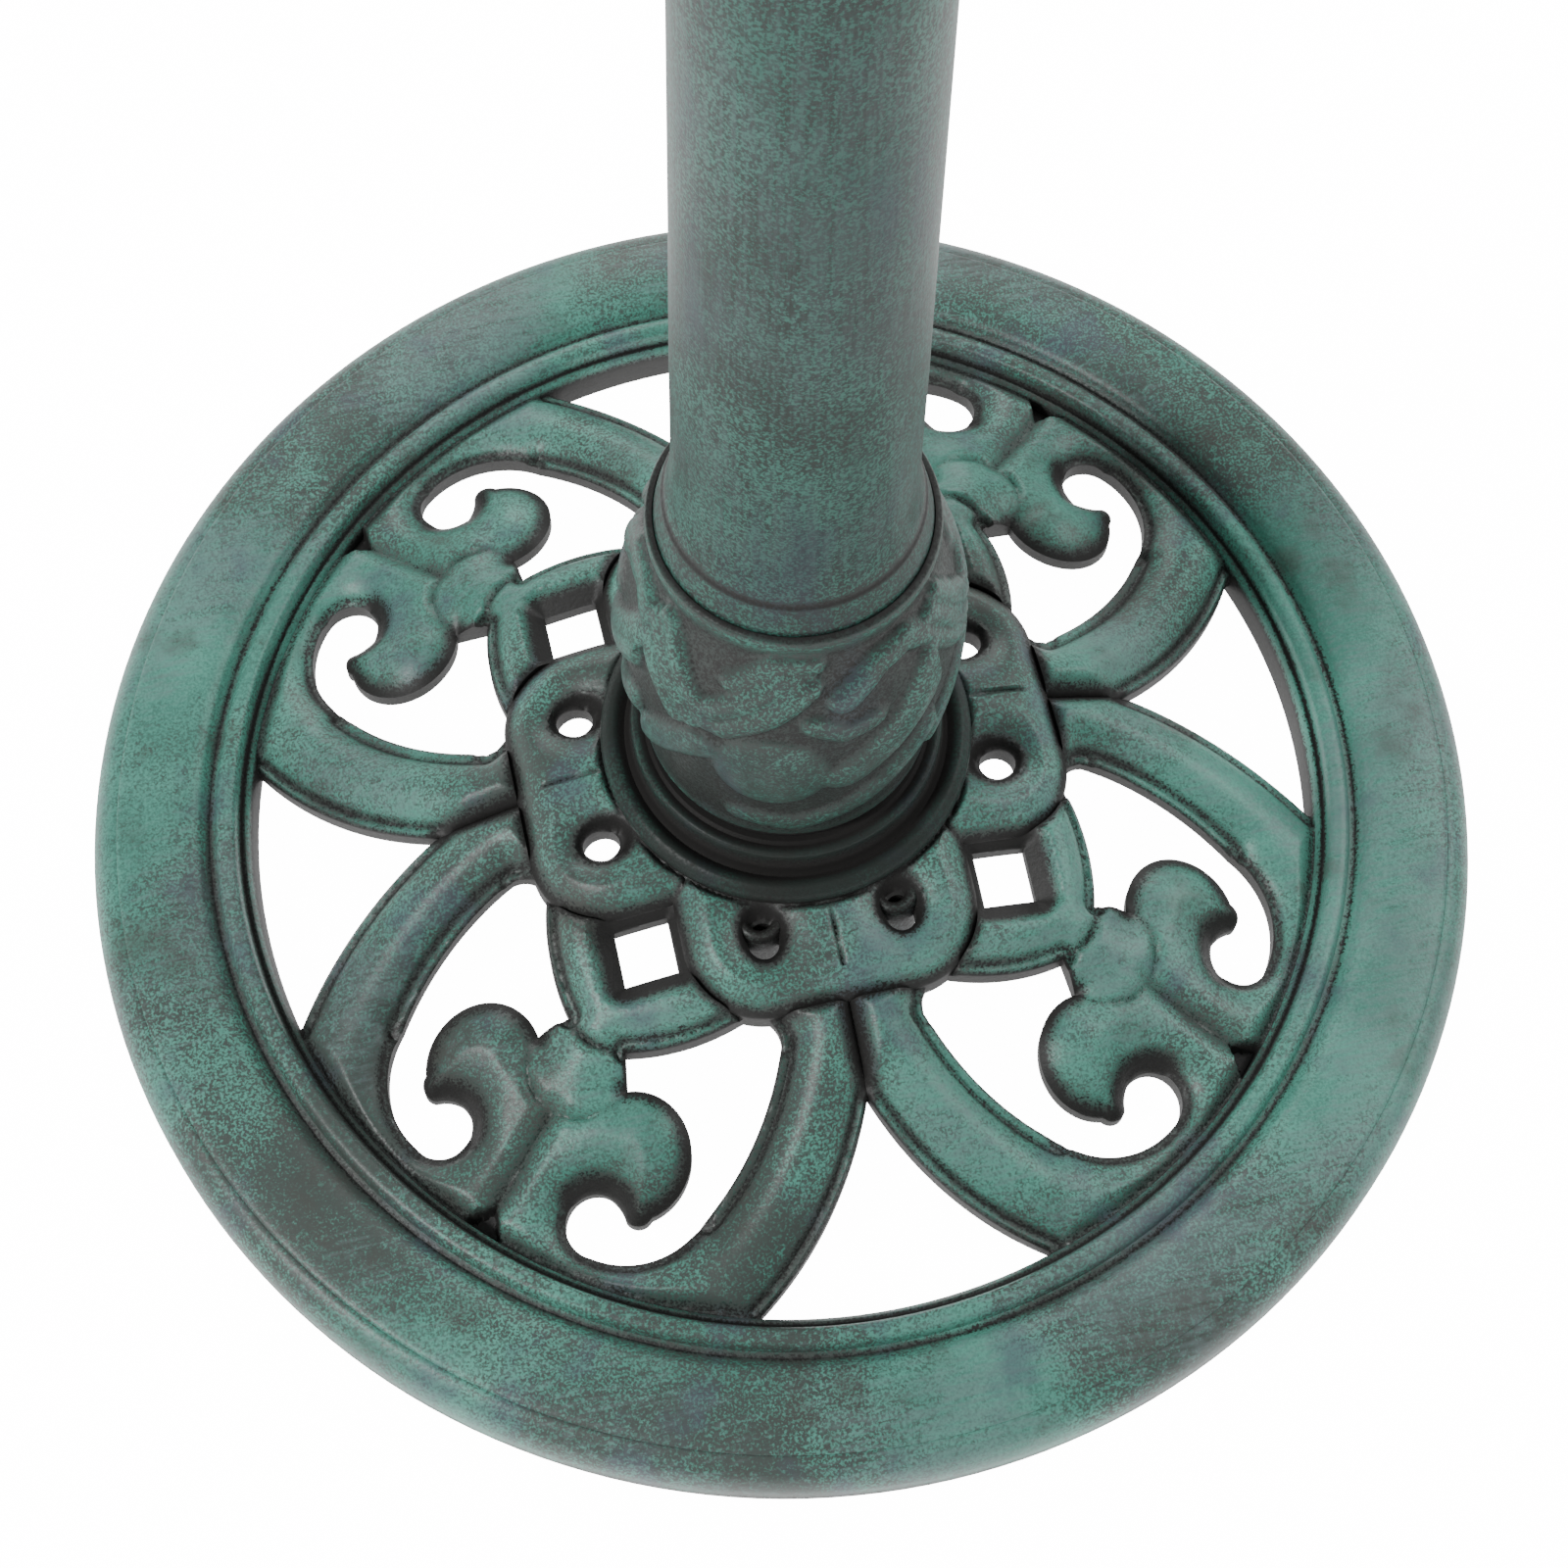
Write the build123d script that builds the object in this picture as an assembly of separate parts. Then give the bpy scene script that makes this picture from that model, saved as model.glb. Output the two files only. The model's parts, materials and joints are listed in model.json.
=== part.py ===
"""Pedestal drinking fountain: moulded scroll-work base, leaf collar, tapered column,
bowl, push-button bubbler, stop valve, supply riser and waste.

Frame: millimetres, +Z up, origin on the ground at the middle of the base.
The button faces -Y. The four scroll panels lie on the diagonals.
"""
import math
import os

from build123d import *

# ---------------------------------------------------------------- base
base_radius = 225.0          # outside of the rim
rim_width = 52.0             # rim, from its outside to the wall that the panels meet
rim_height = 21.0            # crown of the rim
rim_wall = 4.0               # moulded wall under the rim
rim_edge = 5.0               # upright part of the rim's outside
bead_width = 11.0            # round bead along the inside of the rim
bead_height = 19.5           # top of that bead
bead_gap = 3.0               # from the bead to the rise of the crown
crest_inset = 25.0           # highest line of the rim, in from its outside
groove_height = 15.8         # groove between bead and crown
lattice_height = 16.5        # top of the panels where they meet the rim
lattice_thickness = 14.0     # panels and knot
hub_height = 57.5            # seat of the column flange
core_bore = 34.5             # opening for the pipes, through knot, flange and collar
post_radius = 8.0            # anchor posts under the knot
post_bore = 3.5              # holes for ground anchors
post_foot = 1.0              # posts stop this far above the ground
post_drop = 10.0             # top of the posts below the knot's top face
knot_reach = 86.0            # tips of the links, on the pattern circle of 173 mm
knot_half = 46.0             # half width of a link
knot_inner = 20.0            # the links run in to here under the flange
knot_corner = 25.0           # rounding of a link's corners
flange_screw_circle = 38.3   # radius of the circle of the four flange screws
flange_screw_radius = 1.9
flange_screw_head = 3.5
flange_screw_head_height = 3.0
flange_screw_grip = 16.0     # screw length inside the collar

# ---------------------------------------------------------------- column
flange_radius = 57.3
flange_height = 14.5
flange_bead_radius = 3.2     # half-round bead round the flange's foot
flange_step_radius = 47.8    # upper step
collar_height = 124.0        # leaf collar, flange to lip
collar_foot_radius = 42.0
collar_belly_radius = 49.5
collar_lip_radius = 40.0
collar_floor = 22.0          # thick foot of the collar that takes the screws
collar_cavity = 38.0         # radius of the hollow above it
collar_neck = 12.0           # straight part under the lip
lip_depth = 6.0              # recess that hides the tube's foot
tube_foot_radius = 37.2
foot_clearance = 0.5         # radial, tube foot in the collar's recess
foot_bead = 17.0             # top of the bead on the foot
tube_spigot = 40.0           # length of the tube inside the collar
tube_spigot_radius = 33.0
tube_low_radius = 31.8       # tube just above its foot
tube_top_radius = 26.5
tube_length = 450.0          # from the collar's ledge to the top end
tube_wall = 3.0
foot_length = 46.0           # flared foot of the tube
neck_depth = 42.0            # tube inside the capital
socket_clearance = 0.2       # radial, tube in collar and tube in capital

# ---------------------------------------------------------------- head
capital_height = 122.0       # above the end of the tube
capital_radius = 98.0
capital_neck_radius = 33.0
capital_wall = 5.0
capital_band = 18.0          # plain upright band at the top of the bell
bowl_radius = 200.0
bowl_height = 100.0          # from the capital to the top of the rim
bowl_floor = 14.0            # floor above the capital, at the edge of the flat
bowl_wall = 6.0
bowl_dip = 4.0               # fall of the floor towards the drain
rim_roll = 8.0               # radius of the rolled rim
spigot_ring_depth = 14.0     # ring under the bowl that drops into the capital
spigot_ring_wall = 7.0
ring_clearance = 0.3
bowl_deck = 3.0              # recess of the bowl's underside, inside its ring
head_screw_radius = 2.0
head_screw_length = 14.0
head_screw_head = 2.2        # height of its head
screw_slot = 0.8             # depth of the slot in a screw's head
boss_offset = 52.0           # bubbler axis, behind the middle of the bowl
boss_radius = 25.0
boss_rise = 42.0             # top of the boss above the capital's top face

# ---------------------------------------------------------------- bubbler
bubbler_flange_radius = 23.0
bubbler_flange_height = 5.0
bubbler_radius = 18.0
bubbler_height = 52.0        # above the gasket
shank_radius = 8.0
shank_length = 70.0          # threaded shank below the gasket
shank_clearance = 0.4
shank_bore = 4.0
gasket_thickness = 2.0
nut_height = 8.0
washer_thickness = 2.0
shank_nut_flats = 24.0
barrel_radius = 15.0         # housing of the button
barrel_reach = 34.0          # front of the housing from the bubbler's axis
button_height = 29.0         # button axis above the gasket
button_radius = 10.0
button_clearance = 0.06
button_length = 14.0
button_shoulder = 11.5
button_travel = 5.0
bezel_thickness = 4.0
chamber_radius = 12.0
chamber_depth = 16.0
plunger_radius = 2.4
seat_radius = 5.5
seat_thickness = 2.0
water_chamber_radius = 7.0
water_chamber_depth = 14.0
guide_length = 6.0
spring_radius = 8.0
spring_wire = 1.2
spring_turns = 5
nozzle_radius = 6.0
nozzle_length = 24.0
nozzle_lean = 30.0           # degrees forward of upright
nozzle_bore = 2.2
guard_radius = 17.0
guard_wall = 2.5
flow_screw_radius = 3.0
flow_screw_head = 4.6
flow_screw_length = 11.0

# ---------------------------------------------------------------- plumbing
strainer_radius = 23.0
strainer_thickness = 2.0
strainer_hole = 1.8
strainer_recess = 1.5
drain_flange_radius = 24.0
drain_flange_thickness = 3.0
drain_gasket = 1.5           # rubber under the drain flange
drain_tail_radius = 16.0
drain_tail_length = 38.0
drain_clearance = 0.4        # radial, tail in the bowl
drain_socket = 14.0          # depth that the waste pipe goes into the tail
strainer_screw_radius = 1.95
strainer_screw_length = 8.0
drain_nut_flats = 44.0
waste_radius = 11.0
waste_wall = 1.5
waste_spigot = 40.0          # free end below the stop bead
waste_bead = 12.6            # radius of the stop bead
pipe_foot = 8.0              # lower end of the pipes above the ground
riser_radius = 5.0
riser_wall = 1.0
riser_offset = 17.2          # riser beside the waste pipe, inside the column
inlet_offset = 24.0          # supply inlet behind the waste outlet
inlet_thread_radius = 8.33   # G 3/8
inlet_thread_length = 16.0
inlet_undercut = 2.0         # washer groove at the top of the thread
inlet_core_radius = 7.4      # bottom of that groove
inlet_hex = 10.0             # height of the hexagon
inlet_washer_radius = 9.9
inlet_washer_thickness = 1.5
inlet_flats = 18.0
valve_radius = 11.0
valve_length = 30.0
valve_ball_radius = 7.0
lever_length = 27.0
lever_width = 8.0
lever_thickness = 2.5
stem_radius = 3.0
pin_clearance = 0.05         # radial running fit of stems and screws

# ---------------------------------------------------------------- levels and places
panel_radius = base_radius - rim_width
pattern = panel_radius / 173.0        # the scroll pattern is drawn for a 173 mm panel circle
flange_top = hub_height + flange_height
collar_top = flange_top + collar_height
tube_seat = collar_top - lip_depth
tube_end = tube_seat + tube_length
capital_top = tube_end + capital_height
bowl_top = capital_top + bowl_height
floor_top = capital_top + bowl_floor
gasket_base = capital_top + boss_rise
bubbler_base = gasket_base + gasket_thickness
shank_end = bubbler_base - shank_length
button_axis = bubbler_base + button_height
barrel_front = boss_offset - barrel_reach
shoulder_back = barrel_front + 3.0
chamber_end = barrel_front + chamber_depth
seat_plane = chamber_end + guide_length
drain_lip = floor_top - bowl_dip      # floor round the drain, level with its flange
drain_top = drain_lip - strainer_recess
drain_base = drain_top - drain_flange_thickness
drain_seat = drain_base - drain_gasket
tail_end = drain_base - drain_tail_length
valve_top = shank_end - 4.0
valve_axis = valve_top - valve_length / 2
valve_bottom = valve_top - valve_length
diagonals = [45 + 90 * i for i in range(4)]

EPS = 1.0                             # tools run this far past the faces that they cut


def xz(radius, height):
    return (radius, 0, height)


def rod(radius, low, high, x=0.0, y=0.0):
    """Upright cylinder between two heights."""
    return Pos(x, y, low) * Cylinder(radius, high - low, align=(Align.CENTER, Align.CENTER, Align.MIN))


def tube(outer, inner, low, high, x=0.0, y=0.0):
    return rod(outer, low, high, x, y) - rod(inner, low - EPS, high + EPS, x, y)


def rod_y(radius, front, back, x, z):
    """Cylinder along Y between two places."""
    along = Pos(x, front, z) * Rot(-90, 0, 0)
    return along * Cylinder(radius, back - front, align=(Align.CENTER, Align.CENTER, Align.MIN))


def rod_x(radius, left, right, y, z):
    """Cylinder along X between two places."""
    along = Pos(left, y, z) * Rot(0, 90, 0)
    return along * Cylinder(radius, right - left, align=(Align.CENTER, Align.CENTER, Align.MIN))


def hexagon(flats, low, high, x=0.0, y=0.0):
    face = RegularPolygon(radius=flats / 2, side_count=6, major_radius=False)
    return Pos(x, y, low) * extrude(face, high - low)


def profile(*edges):
    """Revolved solid of a closed run of edges in the XZ plane."""
    return revolve(make_face(Wire(list(edges))), Axis.Z, 360)


def line(a, b):
    return Edge.make_line(xz(*a), xz(*b))


def arc(a, b, c):
    return Edge.make_three_point_arc(xz(*a), xz(*b), xz(*c))


def curve(*points):
    return Edge.make_bezier(*[xz(*p) for p in points])


# ---------------------------------------------------------------- base

def lattice_curve(drop):
    """Crown line of the scroll work, from the flange seat out to the rim."""
    return [(flange_radius, hub_height - drop),
            (flange_radius + 0.33 * (panel_radius - flange_radius), hub_height - 4.5 - drop),
            (flange_radius + 0.63 * (panel_radius - flange_radius), lattice_height + 8.5 - drop),
            (panel_radius, lattice_height - drop)]


def dome():
    """The thick domed skin that the panels and the knot are cut from."""
    top = lattice_curve(0)
    low = lattice_curve(lattice_thickness)
    return profile(
        line((core_bore, top[0][1]), top[0]),
        curve(*top),
        line(top[-1], low[-1]),
        curve(*reversed(low)),
        line(low[0], (core_bore, low[0][1])),
        line((core_bore, low[0][1]), (core_bore, top[0][1])))


def plan_arc(a, b, c):
    return Edge.make_three_point_arc((a[0] * pattern, a[1] * pattern), (b[0] * pattern, b[1] * pattern),
                                     (c[0] * pattern, c[1] * pattern))


def plan_line(a, b):
    return Edge.make_line((a[0] * pattern, a[1] * pattern), (b[0] * pattern, b[1] * pattern))


def window():
    """Opening between two neighbouring panels and the rim, on the +X axis."""
    crotch = (112.7, 0.0)
    corner = (166.8, 45.9)
    return make_face(Wire([
        plan_arc(crotch, (141.6, 17.5), corner),
        plan_arc(corner, (173.0, 0.0), (corner[0], -corner[1])),
        plan_arc((corner[0], -corner[1]), (141.6, -17.5), crotch)]))


def lyre_opening():
    """Opening inside one half of a panel, between arm, scroll, bud and pointed loop."""
    notch = (108.2, 10.2)
    bud_end = (116.8, 16.4)
    return make_face(Wire([
        plan_arc(notch, (95.0, 26.6), (80.2, 36.9)),
        plan_arc((80.2, 36.9), (78.0, 42.5), (81.3, 49.6)),
        plan_arc((81.3, 49.6), (108.0, 57.2), (135.0, 56.5)),
        plan_arc((135.0, 56.5), (154.4, 48.4), (163.1, 29.5)),
        plan_arc((163.1, 29.5), (153.7, 19.2), (144.4, 27.5)),
        plan_arc((144.4, 27.5), (145.2, 31.6), (147.6, 35.5)),
        plan_arc((147.6, 35.5), (147.2, 39.8), (143.0, 42.0)),
        plan_arc((143.0, 42.0), (114.3, 33.6), bud_end),
        plan_line(bud_end, notch)]))


def square_opening():
    """Square hole inside the pointed loop, with its corners on the panel's axis."""
    return Pos(80.3 * pattern, 0) * Rot(0, 0, 45) * Rectangle(16.9 * pattern, 16.9 * pattern)


def knot_outline():
    """Four rounded links round the hub."""
    reach, half, inner = knot_reach * pattern, knot_half * pattern, knot_inner * pattern
    link = Pos((reach + inner) / 2, 0) * Rectangle(reach - inner, 2 * half)
    link = fillet(link.vertices().group_by(Axis.X)[-1], knot_corner * pattern)
    outline = Circle(flange_radius)
    for turn in range(4):
        outline += Rot(0, 0, 90 * turn) * link
    return outline


def well():
    """Rounded opening beside the bridge of a link, on the +X axis."""
    return Pos(64.5 * pattern, 21.5 * pattern) * Ellipse(9.2 * pattern, 8.0 * pattern)


def make_base_ring():
    outer = base_radius
    crest = outer - crest_inset
    bead_out = panel_radius + bead_width + bead_gap
    inside = panel_radius + rim_wall
    roof = groove_height - rim_wall
    return profile(
        line((outer, 0), (outer, rim_edge)),
        curve((outer, rim_edge), (outer - 2, rim_height - 3), (outer - 12, rim_height), (crest, rim_height)),
        curve((crest, rim_height), (crest - 7, rim_height), (bead_out + 4, groove_height + 1),
              (bead_out, groove_height)),
        arc((bead_out, groove_height), (bead_out - bead_width / 2, bead_height),
            (bead_out - bead_width, groove_height)),
        line((bead_out - bead_width, groove_height), (panel_radius, lattice_height - 2)),
        line((panel_radius, lattice_height - 2), (panel_radius, 0)),
        line((panel_radius, 0), (inside, 0)),
        line((inside, 0), (inside, roof)),
        line((inside, roof), (bead_out, roof)),
        line((bead_out, roof), (crest, rim_height - rim_wall)),
        curve((crest, rim_height - rim_wall), (outer - 11, rim_height - rim_wall),
              (outer - rim_wall - 2, rim_height - rim_wall - 3), (outer - rim_wall, rim_edge - 1)),
        line((outer - rim_wall, rim_edge - 1), (outer - rim_wall, 0)),
        line((outer - rim_wall, 0), (outer, 0)))


def make_scroll_panel(angle, skin):
    """One lyre panel: two arms with their scrolls, the bud and the pointed loop."""
    half = panel_radius / math.sqrt(2)
    sector = make_face(Wire([
        Edge.make_line((0, 0), (half, -half)),
        Edge.make_three_point_arc((half, -half), (panel_radius, 0), (half, half)),
        Edge.make_line((half, half), (0, 0))]))
    plan = sector - Rot(0, 0, 45) * knot_outline()
    plan -= Rot(0, 0, 45) * window()
    plan -= Rot(0, 0, -45) * window()
    plan -= lyre_opening()
    plan -= mirror(lyre_opening(), Plane.XZ)
    plan -= square_opening()
    pieces = (extrude(plan, hub_height + EPS) & skin).solids().sort_by(SortBy.VOLUME)
    return Rot(0, 0, angle) * pieces[-1]


def post_places():
    """Anchor posts stand in the front and back links' openings."""
    across, along = 21.1 * pattern, 56.2 * pattern
    return [(sx * across, sy * along) for sx in (-1, 1) for sy in (-1, 1)]


def make_knot(skin):
    """Hub of four interlaced links, with the flange seat and the anchor posts."""
    plan = knot_outline() - Circle(core_bore)
    for turn in range(4):
        for side in (well(), mirror(well(), Plane.XZ)):
            plan -= Rot(0, 0, 90 * turn) * side
    for angle in diagonals:
        plan -= Rot(0, 0, angle) * square_opening()
    knot = extrude(plan, hub_height + EPS) & skin
    for x, y in post_places():
        knot += rod(post_radius, post_foot, hub_height - post_drop, x, y)
        knot -= rod(post_bore, 0, hub_height + EPS, x, y)
    for angle in diagonals:
        knot -= Rot(0, 0, angle) * rod(flange_screw_radius, 0, hub_height + EPS, flange_screw_circle)
    return knot


def make_flange_screws():
    screws = []
    seat = hub_height - lattice_thickness
    for angle in diagonals:
        screw = rod(flange_screw_head, seat - flange_screw_head_height, seat, flange_screw_circle)
        screw += rod(flange_screw_radius, seat, flange_top + flange_screw_grip, flange_screw_circle)
        screws.append(Rot(0, 0, angle) * screw)
    return screws


# ---------------------------------------------------------------- column

def make_flange():
    bead = flange_bead_radius
    crown = hub_height + 2 * bead
    step = flange_step_radius
    flange = profile(
        line((core_bore, hub_height), (flange_radius, hub_height)),
        arc((flange_radius, hub_height), (flange_radius - 0.6, hub_height + bead * 1.3),
            (flange_radius - bead, crown)),
        line((flange_radius - bead, crown), (step + 2.5, crown)),
        arc((step + 2.5, crown), (step + 0.6, crown + 1.2), (step, crown + 3)),
        line((step, crown + 3), (step, flange_top - 1.5)),
        arc((step, flange_top - 1.5), (step - 0.5, flange_top - 0.5), (step - 1.5, flange_top)),
        line((step - 1.5, flange_top), (core_bore, flange_top)),
        line((core_bore, flange_top), (core_bore, hub_height)))
    for angle in diagonals:
        flange -= Rot(0, 0, angle) * rod(flange_screw_radius, hub_height - EPS, flange_top + EPS,
                                         flange_screw_circle)
    return flange


def collar_outline():
    """Outside of the leaf collar, from its foot up to the lip."""
    h = collar_height
    return [(collar_foot_radius, flange_top),
            (collar_belly_radius + 1, flange_top + 0.22 * h),
            (collar_belly_radius + 5, flange_top + 0.72 * h),
            (collar_lip_radius, collar_top - collar_neck)]


def make_collar():
    socket = tube_spigot_radius + socket_clearance
    recess = tube_foot_radius + foot_clearance
    cavity_top = tube_seat - tube_spigot - 4
    shoulder = tube_seat - tube_spigot
    floor = flange_top + collar_floor
    collar = profile(
        line((core_bore, flange_top), (collar_foot_radius, flange_top)),
        curve(*collar_outline()),
        line((collar_lip_radius, collar_top - collar_neck), (collar_lip_radius, collar_top)),
        line((collar_lip_radius, collar_top), (recess, collar_top)),
        line((recess, collar_top), (recess, tube_seat)),
        line((recess, tube_seat), (socket, tube_seat)),
        line((socket, tube_seat), (socket, shoulder)),
        line((socket, shoulder), (collar_cavity, cavity_top)),
        line((collar_cavity, cavity_top), (collar_cavity, floor)),
        line((collar_cavity, floor), (core_bore, floor - 3)),
        line((core_bore, floor - 3), (core_bore, flange_top)))
    for angle in diagonals:
        collar -= Rot(0, 0, angle) * rod(flange_screw_radius, flange_top - EPS,
                                         flange_top + flange_screw_grip, flange_screw_circle)
    return collar


def make_column_tube():
    bead_top = tube_seat + foot_bead
    foot_top = tube_seat + foot_length
    neck = tube_end - neck_depth - 6
    bore_low = tube_low_radius - tube_wall
    bore_top = tube_top_radius - tube_wall
    return profile(
        line((tube_spigot_radius, tube_seat - tube_spigot), (tube_spigot_radius, tube_seat)),
        line((tube_spigot_radius, tube_seat), (tube_foot_radius - 1, tube_seat)),
        arc((tube_foot_radius - 1, tube_seat), (tube_foot_radius, tube_seat + 4),
            (tube_foot_radius - 2.5, bead_top)),
        curve((tube_foot_radius - 2.5, bead_top), (tube_low_radius + 1, bead_top + 3),
              (tube_low_radius, foot_top - 12), (tube_low_radius, foot_top)),
        line((tube_low_radius, foot_top), (tube_top_radius, neck)),
        line((tube_top_radius, neck), (tube_top_radius, tube_end)),
        line((tube_top_radius, tube_end), (bore_top, tube_end)),
        line((bore_top, tube_end), (bore_top, neck)),
        line((bore_top, neck), (bore_low, foot_top)),
        line((bore_low, foot_top), (bore_low, tube_seat - tube_spigot)),
        line((bore_low, tube_seat - tube_spigot), (tube_spigot_radius, tube_seat - tube_spigot)))


# ---------------------------------------------------------------- head

def capital_outline(inset=0.0):
    """Bell of the capital, from its neck up to the flat top."""
    h = capital_height
    return [(capital_neck_radius - inset, tube_end),
            (capital_neck_radius + 3 - inset, tube_end + 0.28 * h),
            (capital_radius - 4 - inset, tube_end + 0.26 * h),
            (capital_radius - inset, capital_top - capital_band)]


def make_capital():
    neck = tube_top_radius + socket_clearance
    low = tube_end - neck_depth
    inner_top = capital_radius - capital_wall
    inner = capital_outline(capital_wall)
    shelf = tube_end + 4.0
    capital = profile(
        line((neck, low), (capital_neck_radius - 2, low)),
        arc((capital_neck_radius - 2, low), (capital_neck_radius + 1.5, low + 6),
            (capital_neck_radius, low + 12)),
        line((capital_neck_radius, low + 12), (capital_neck_radius, tube_end)),
        curve(*capital_outline()),
        line((capital_radius, capital_top - capital_band), (capital_radius, capital_top)),
        line((capital_radius, capital_top), (inner_top, capital_top)),
        line((inner_top, capital_top), inner[3]),
        curve(*reversed([(inner[0][0], shelf)] + inner[1:])),
        line((inner[0][0], shelf), (tube_top_radius - tube_wall, shelf)),
        line((tube_top_radius - tube_wall, shelf), (tube_top_radius - tube_wall, tube_end)),
        line((tube_top_radius - tube_wall, tube_end), (neck, tube_end)),
        line((neck, tube_end), (neck, low)))
    for place in screw_places():
        capital -= place * screw_hole()
    return capital


def screw_places():
    """Four radial screws hold the bowl's ring in the capital."""
    level = capital_top - spigot_ring_depth / 2
    return [Rot(0, 0, angle) * Pos(capital_radius, 0, level) * Rot(0, -90, 0) for angle in diagonals]


def screw_hole():
    return Pos(0, 0, -EPS) * Cylinder(head_screw_radius, head_screw_length + EPS,
                                      align=(Align.CENTER, Align.CENTER, Align.MIN))


def make_head_screws():
    screw = Cylinder(head_screw_radius, head_screw_length, align=(Align.CENTER, Align.CENTER, Align.MIN))
    screw += Pos(0, 0, -head_screw_head) * Cylinder(2 * head_screw_radius, head_screw_head,
                                                    align=(Align.CENTER, Align.CENTER, Align.MIN))
    screw -= Pos(0, 0, -head_screw_head) * Box(5 * head_screw_radius, 0.9, 2 * screw_slot)
    return [place * screw for place in screw_places()]


def make_bowl():
    rim = bowl_radius - rim_roll
    roll = bowl_top - rim_roll
    ring_out = capital_radius - capital_wall - ring_clearance
    ring_in = ring_out - spigot_ring_wall
    ring_low = capital_top - spigot_ring_depth
    drain_hole = drain_tail_radius + drain_clearance
    recess = drain_flange_radius + 0.5
    deck = capital_top - bowl_deck
    bowl = profile(
        line((drain_hole, deck), (ring_in, deck)),
        line((ring_in, deck), (ring_in, ring_low)),
        line((ring_in, ring_low), (ring_out, ring_low)),
        line((ring_out, ring_low), (ring_out, capital_top)),
        line((ring_out, capital_top), (capital_radius, capital_top)),
        curve((capital_radius, capital_top), (capital_radius + 55, capital_top + 8),
              (rim - 6, bowl_top - 50), (rim, roll - rim_roll)),
        arc((rim, roll - rim_roll), (bowl_radius, roll), (rim, bowl_top)),
        arc((rim, bowl_top), (rim - 6, bowl_top - 2.5), (rim - 8, roll)),
        curve((rim - 8, roll), (rim - 8 - bowl_wall, bowl_top - 48),
              (capital_radius + 50, floor_top + 4), (capital_radius, floor_top)),
        line((capital_radius, floor_top), (recess, drain_lip)),
        line((recess, drain_lip), (recess, drain_seat)),
        line((recess, drain_seat), (drain_hole, drain_seat)),
        line((drain_hole, drain_seat), (drain_hole, deck)))
    bowl += rod(boss_radius, capital_top, gasket_base, 0, boss_offset)
    bowl -= rod(shank_radius + shank_clearance, capital_top - 10, gasket_base + EPS, 0, boss_offset)
    for place in screw_places():
        bowl -= place * screw_hole()
    return bowl


# ---------------------------------------------------------------- waste

def make_drain_body():
    body = rod(drain_flange_radius, drain_base, drain_lip) + rod(drain_tail_radius, tail_end, drain_base)
    body -= rod(waste_radius, tail_end - EPS, tail_end + drain_socket)
    body -= rod(waste_radius - waste_wall, tail_end, drain_lip + EPS)
    body -= rod(strainer_radius - 1.5, drain_top, drain_lip + EPS)
    body += Pos(0, 0, drain_top - 6.5) * Box(2 * waste_radius - 1, 5, 3)
    body += rod(4.5, drain_top - strainer_screw_length, drain_top)
    return body - rod(strainer_screw_radius, drain_top - strainer_screw_length - EPS, drain_top + EPS)


def make_drain_gasket():
    return tube(drain_flange_radius, drain_tail_radius + 0.2, drain_seat, drain_base)


def make_drain_nut():
    high = capital_top - bowl_deck
    return hexagon(drain_nut_flats, high - nut_height, high) - rod(drain_tail_radius, 0, high + EPS)


def make_strainer():
    """Perforated disc with rings of round holes."""
    top = drain_top + strainer_thickness
    disc = rod(strainer_radius - 1.7, drain_top, top)
    disc -= rod(2.2, drain_top - EPS, top + EPS)
    for ring_radius, count in ((7.5, 8), (12.5, 14), (17.5, 20)):
        for place in PolarLocations(ring_radius, count):
            disc -= place * rod(strainer_hole, drain_top - EPS, top + EPS)
    return disc


def make_strainer_screw():
    head_low = drain_top + strainer_thickness
    head_top = head_low + 1.8
    screw = rod(4.2, head_low, head_top)
    screw += rod(strainer_screw_radius, drain_top - strainer_screw_length, head_low)
    return screw - Pos(0, 0, head_top) * Box(10, 1.0, 2 * screw_slot)


def make_waste_pipe():
    """Pipe with a stop bead above its free end."""
    stop = pipe_foot + waste_spigot
    pipe = rod(waste_radius, pipe_foot, tail_end + drain_socket) + rod(waste_bead, stop, stop + 3)
    return pipe - rod(waste_radius - waste_wall, pipe_foot - EPS, tail_end + drain_socket + EPS)


# ---------------------------------------------------------------- bubbler

def make_bubbler_body():
    """Brass body with its threaded shank, button housing and water ways."""
    y = boss_offset
    top = bubbler_base + bubbler_height
    flange_top_z = bubbler_base + bubbler_flange_height
    body = rod(bubbler_flange_radius, bubbler_base, flange_top_z, 0, y)
    column = rod(bubbler_radius, bubbler_base, top, 0, y)
    body += fillet(column.edges().sort_by(Axis.Z)[-1], min(7.0, bubbler_radius / 2))
    body += rod(shank_radius, shank_end, bubbler_base, 0, y)
    body += rod_y(barrel_radius, barrel_front, y, 0, button_axis)
    body -= rod_y(chamber_radius, barrel_front - EPS, chamber_end, 0, button_axis)
    body -= rod_y(plunger_radius + button_clearance, chamber_end - EPS, seat_plane, 0, button_axis)
    body -= rod_y(seat_radius - 1.5, seat_plane - 4, seat_plane, 0, button_axis)
    body -= rod_y(water_chamber_radius, seat_plane, seat_plane + water_chamber_depth, 0, button_axis)
    body -= rod(shank_bore, shank_end - EPS, button_axis, 0, y)
    body -= rod(nozzle_bore, button_axis, top - 4, 0, seat_plane - 2.2)
    body -= nozzle_place() * rod(nozzle_radius, 0, nozzle_length)
    body -= rod_x(flow_screw_radius + pin_clearance, shank_bore - 2, bubbler_radius + EPS, y, flow_level())
    body -= rod_x(flow_screw_head + 0.3, bubbler_radius - 2.5, bubbler_radius + EPS, y, flow_level())
    return body


def flow_level():
    return bubbler_base + bubbler_flange_height + 6.0


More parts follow.
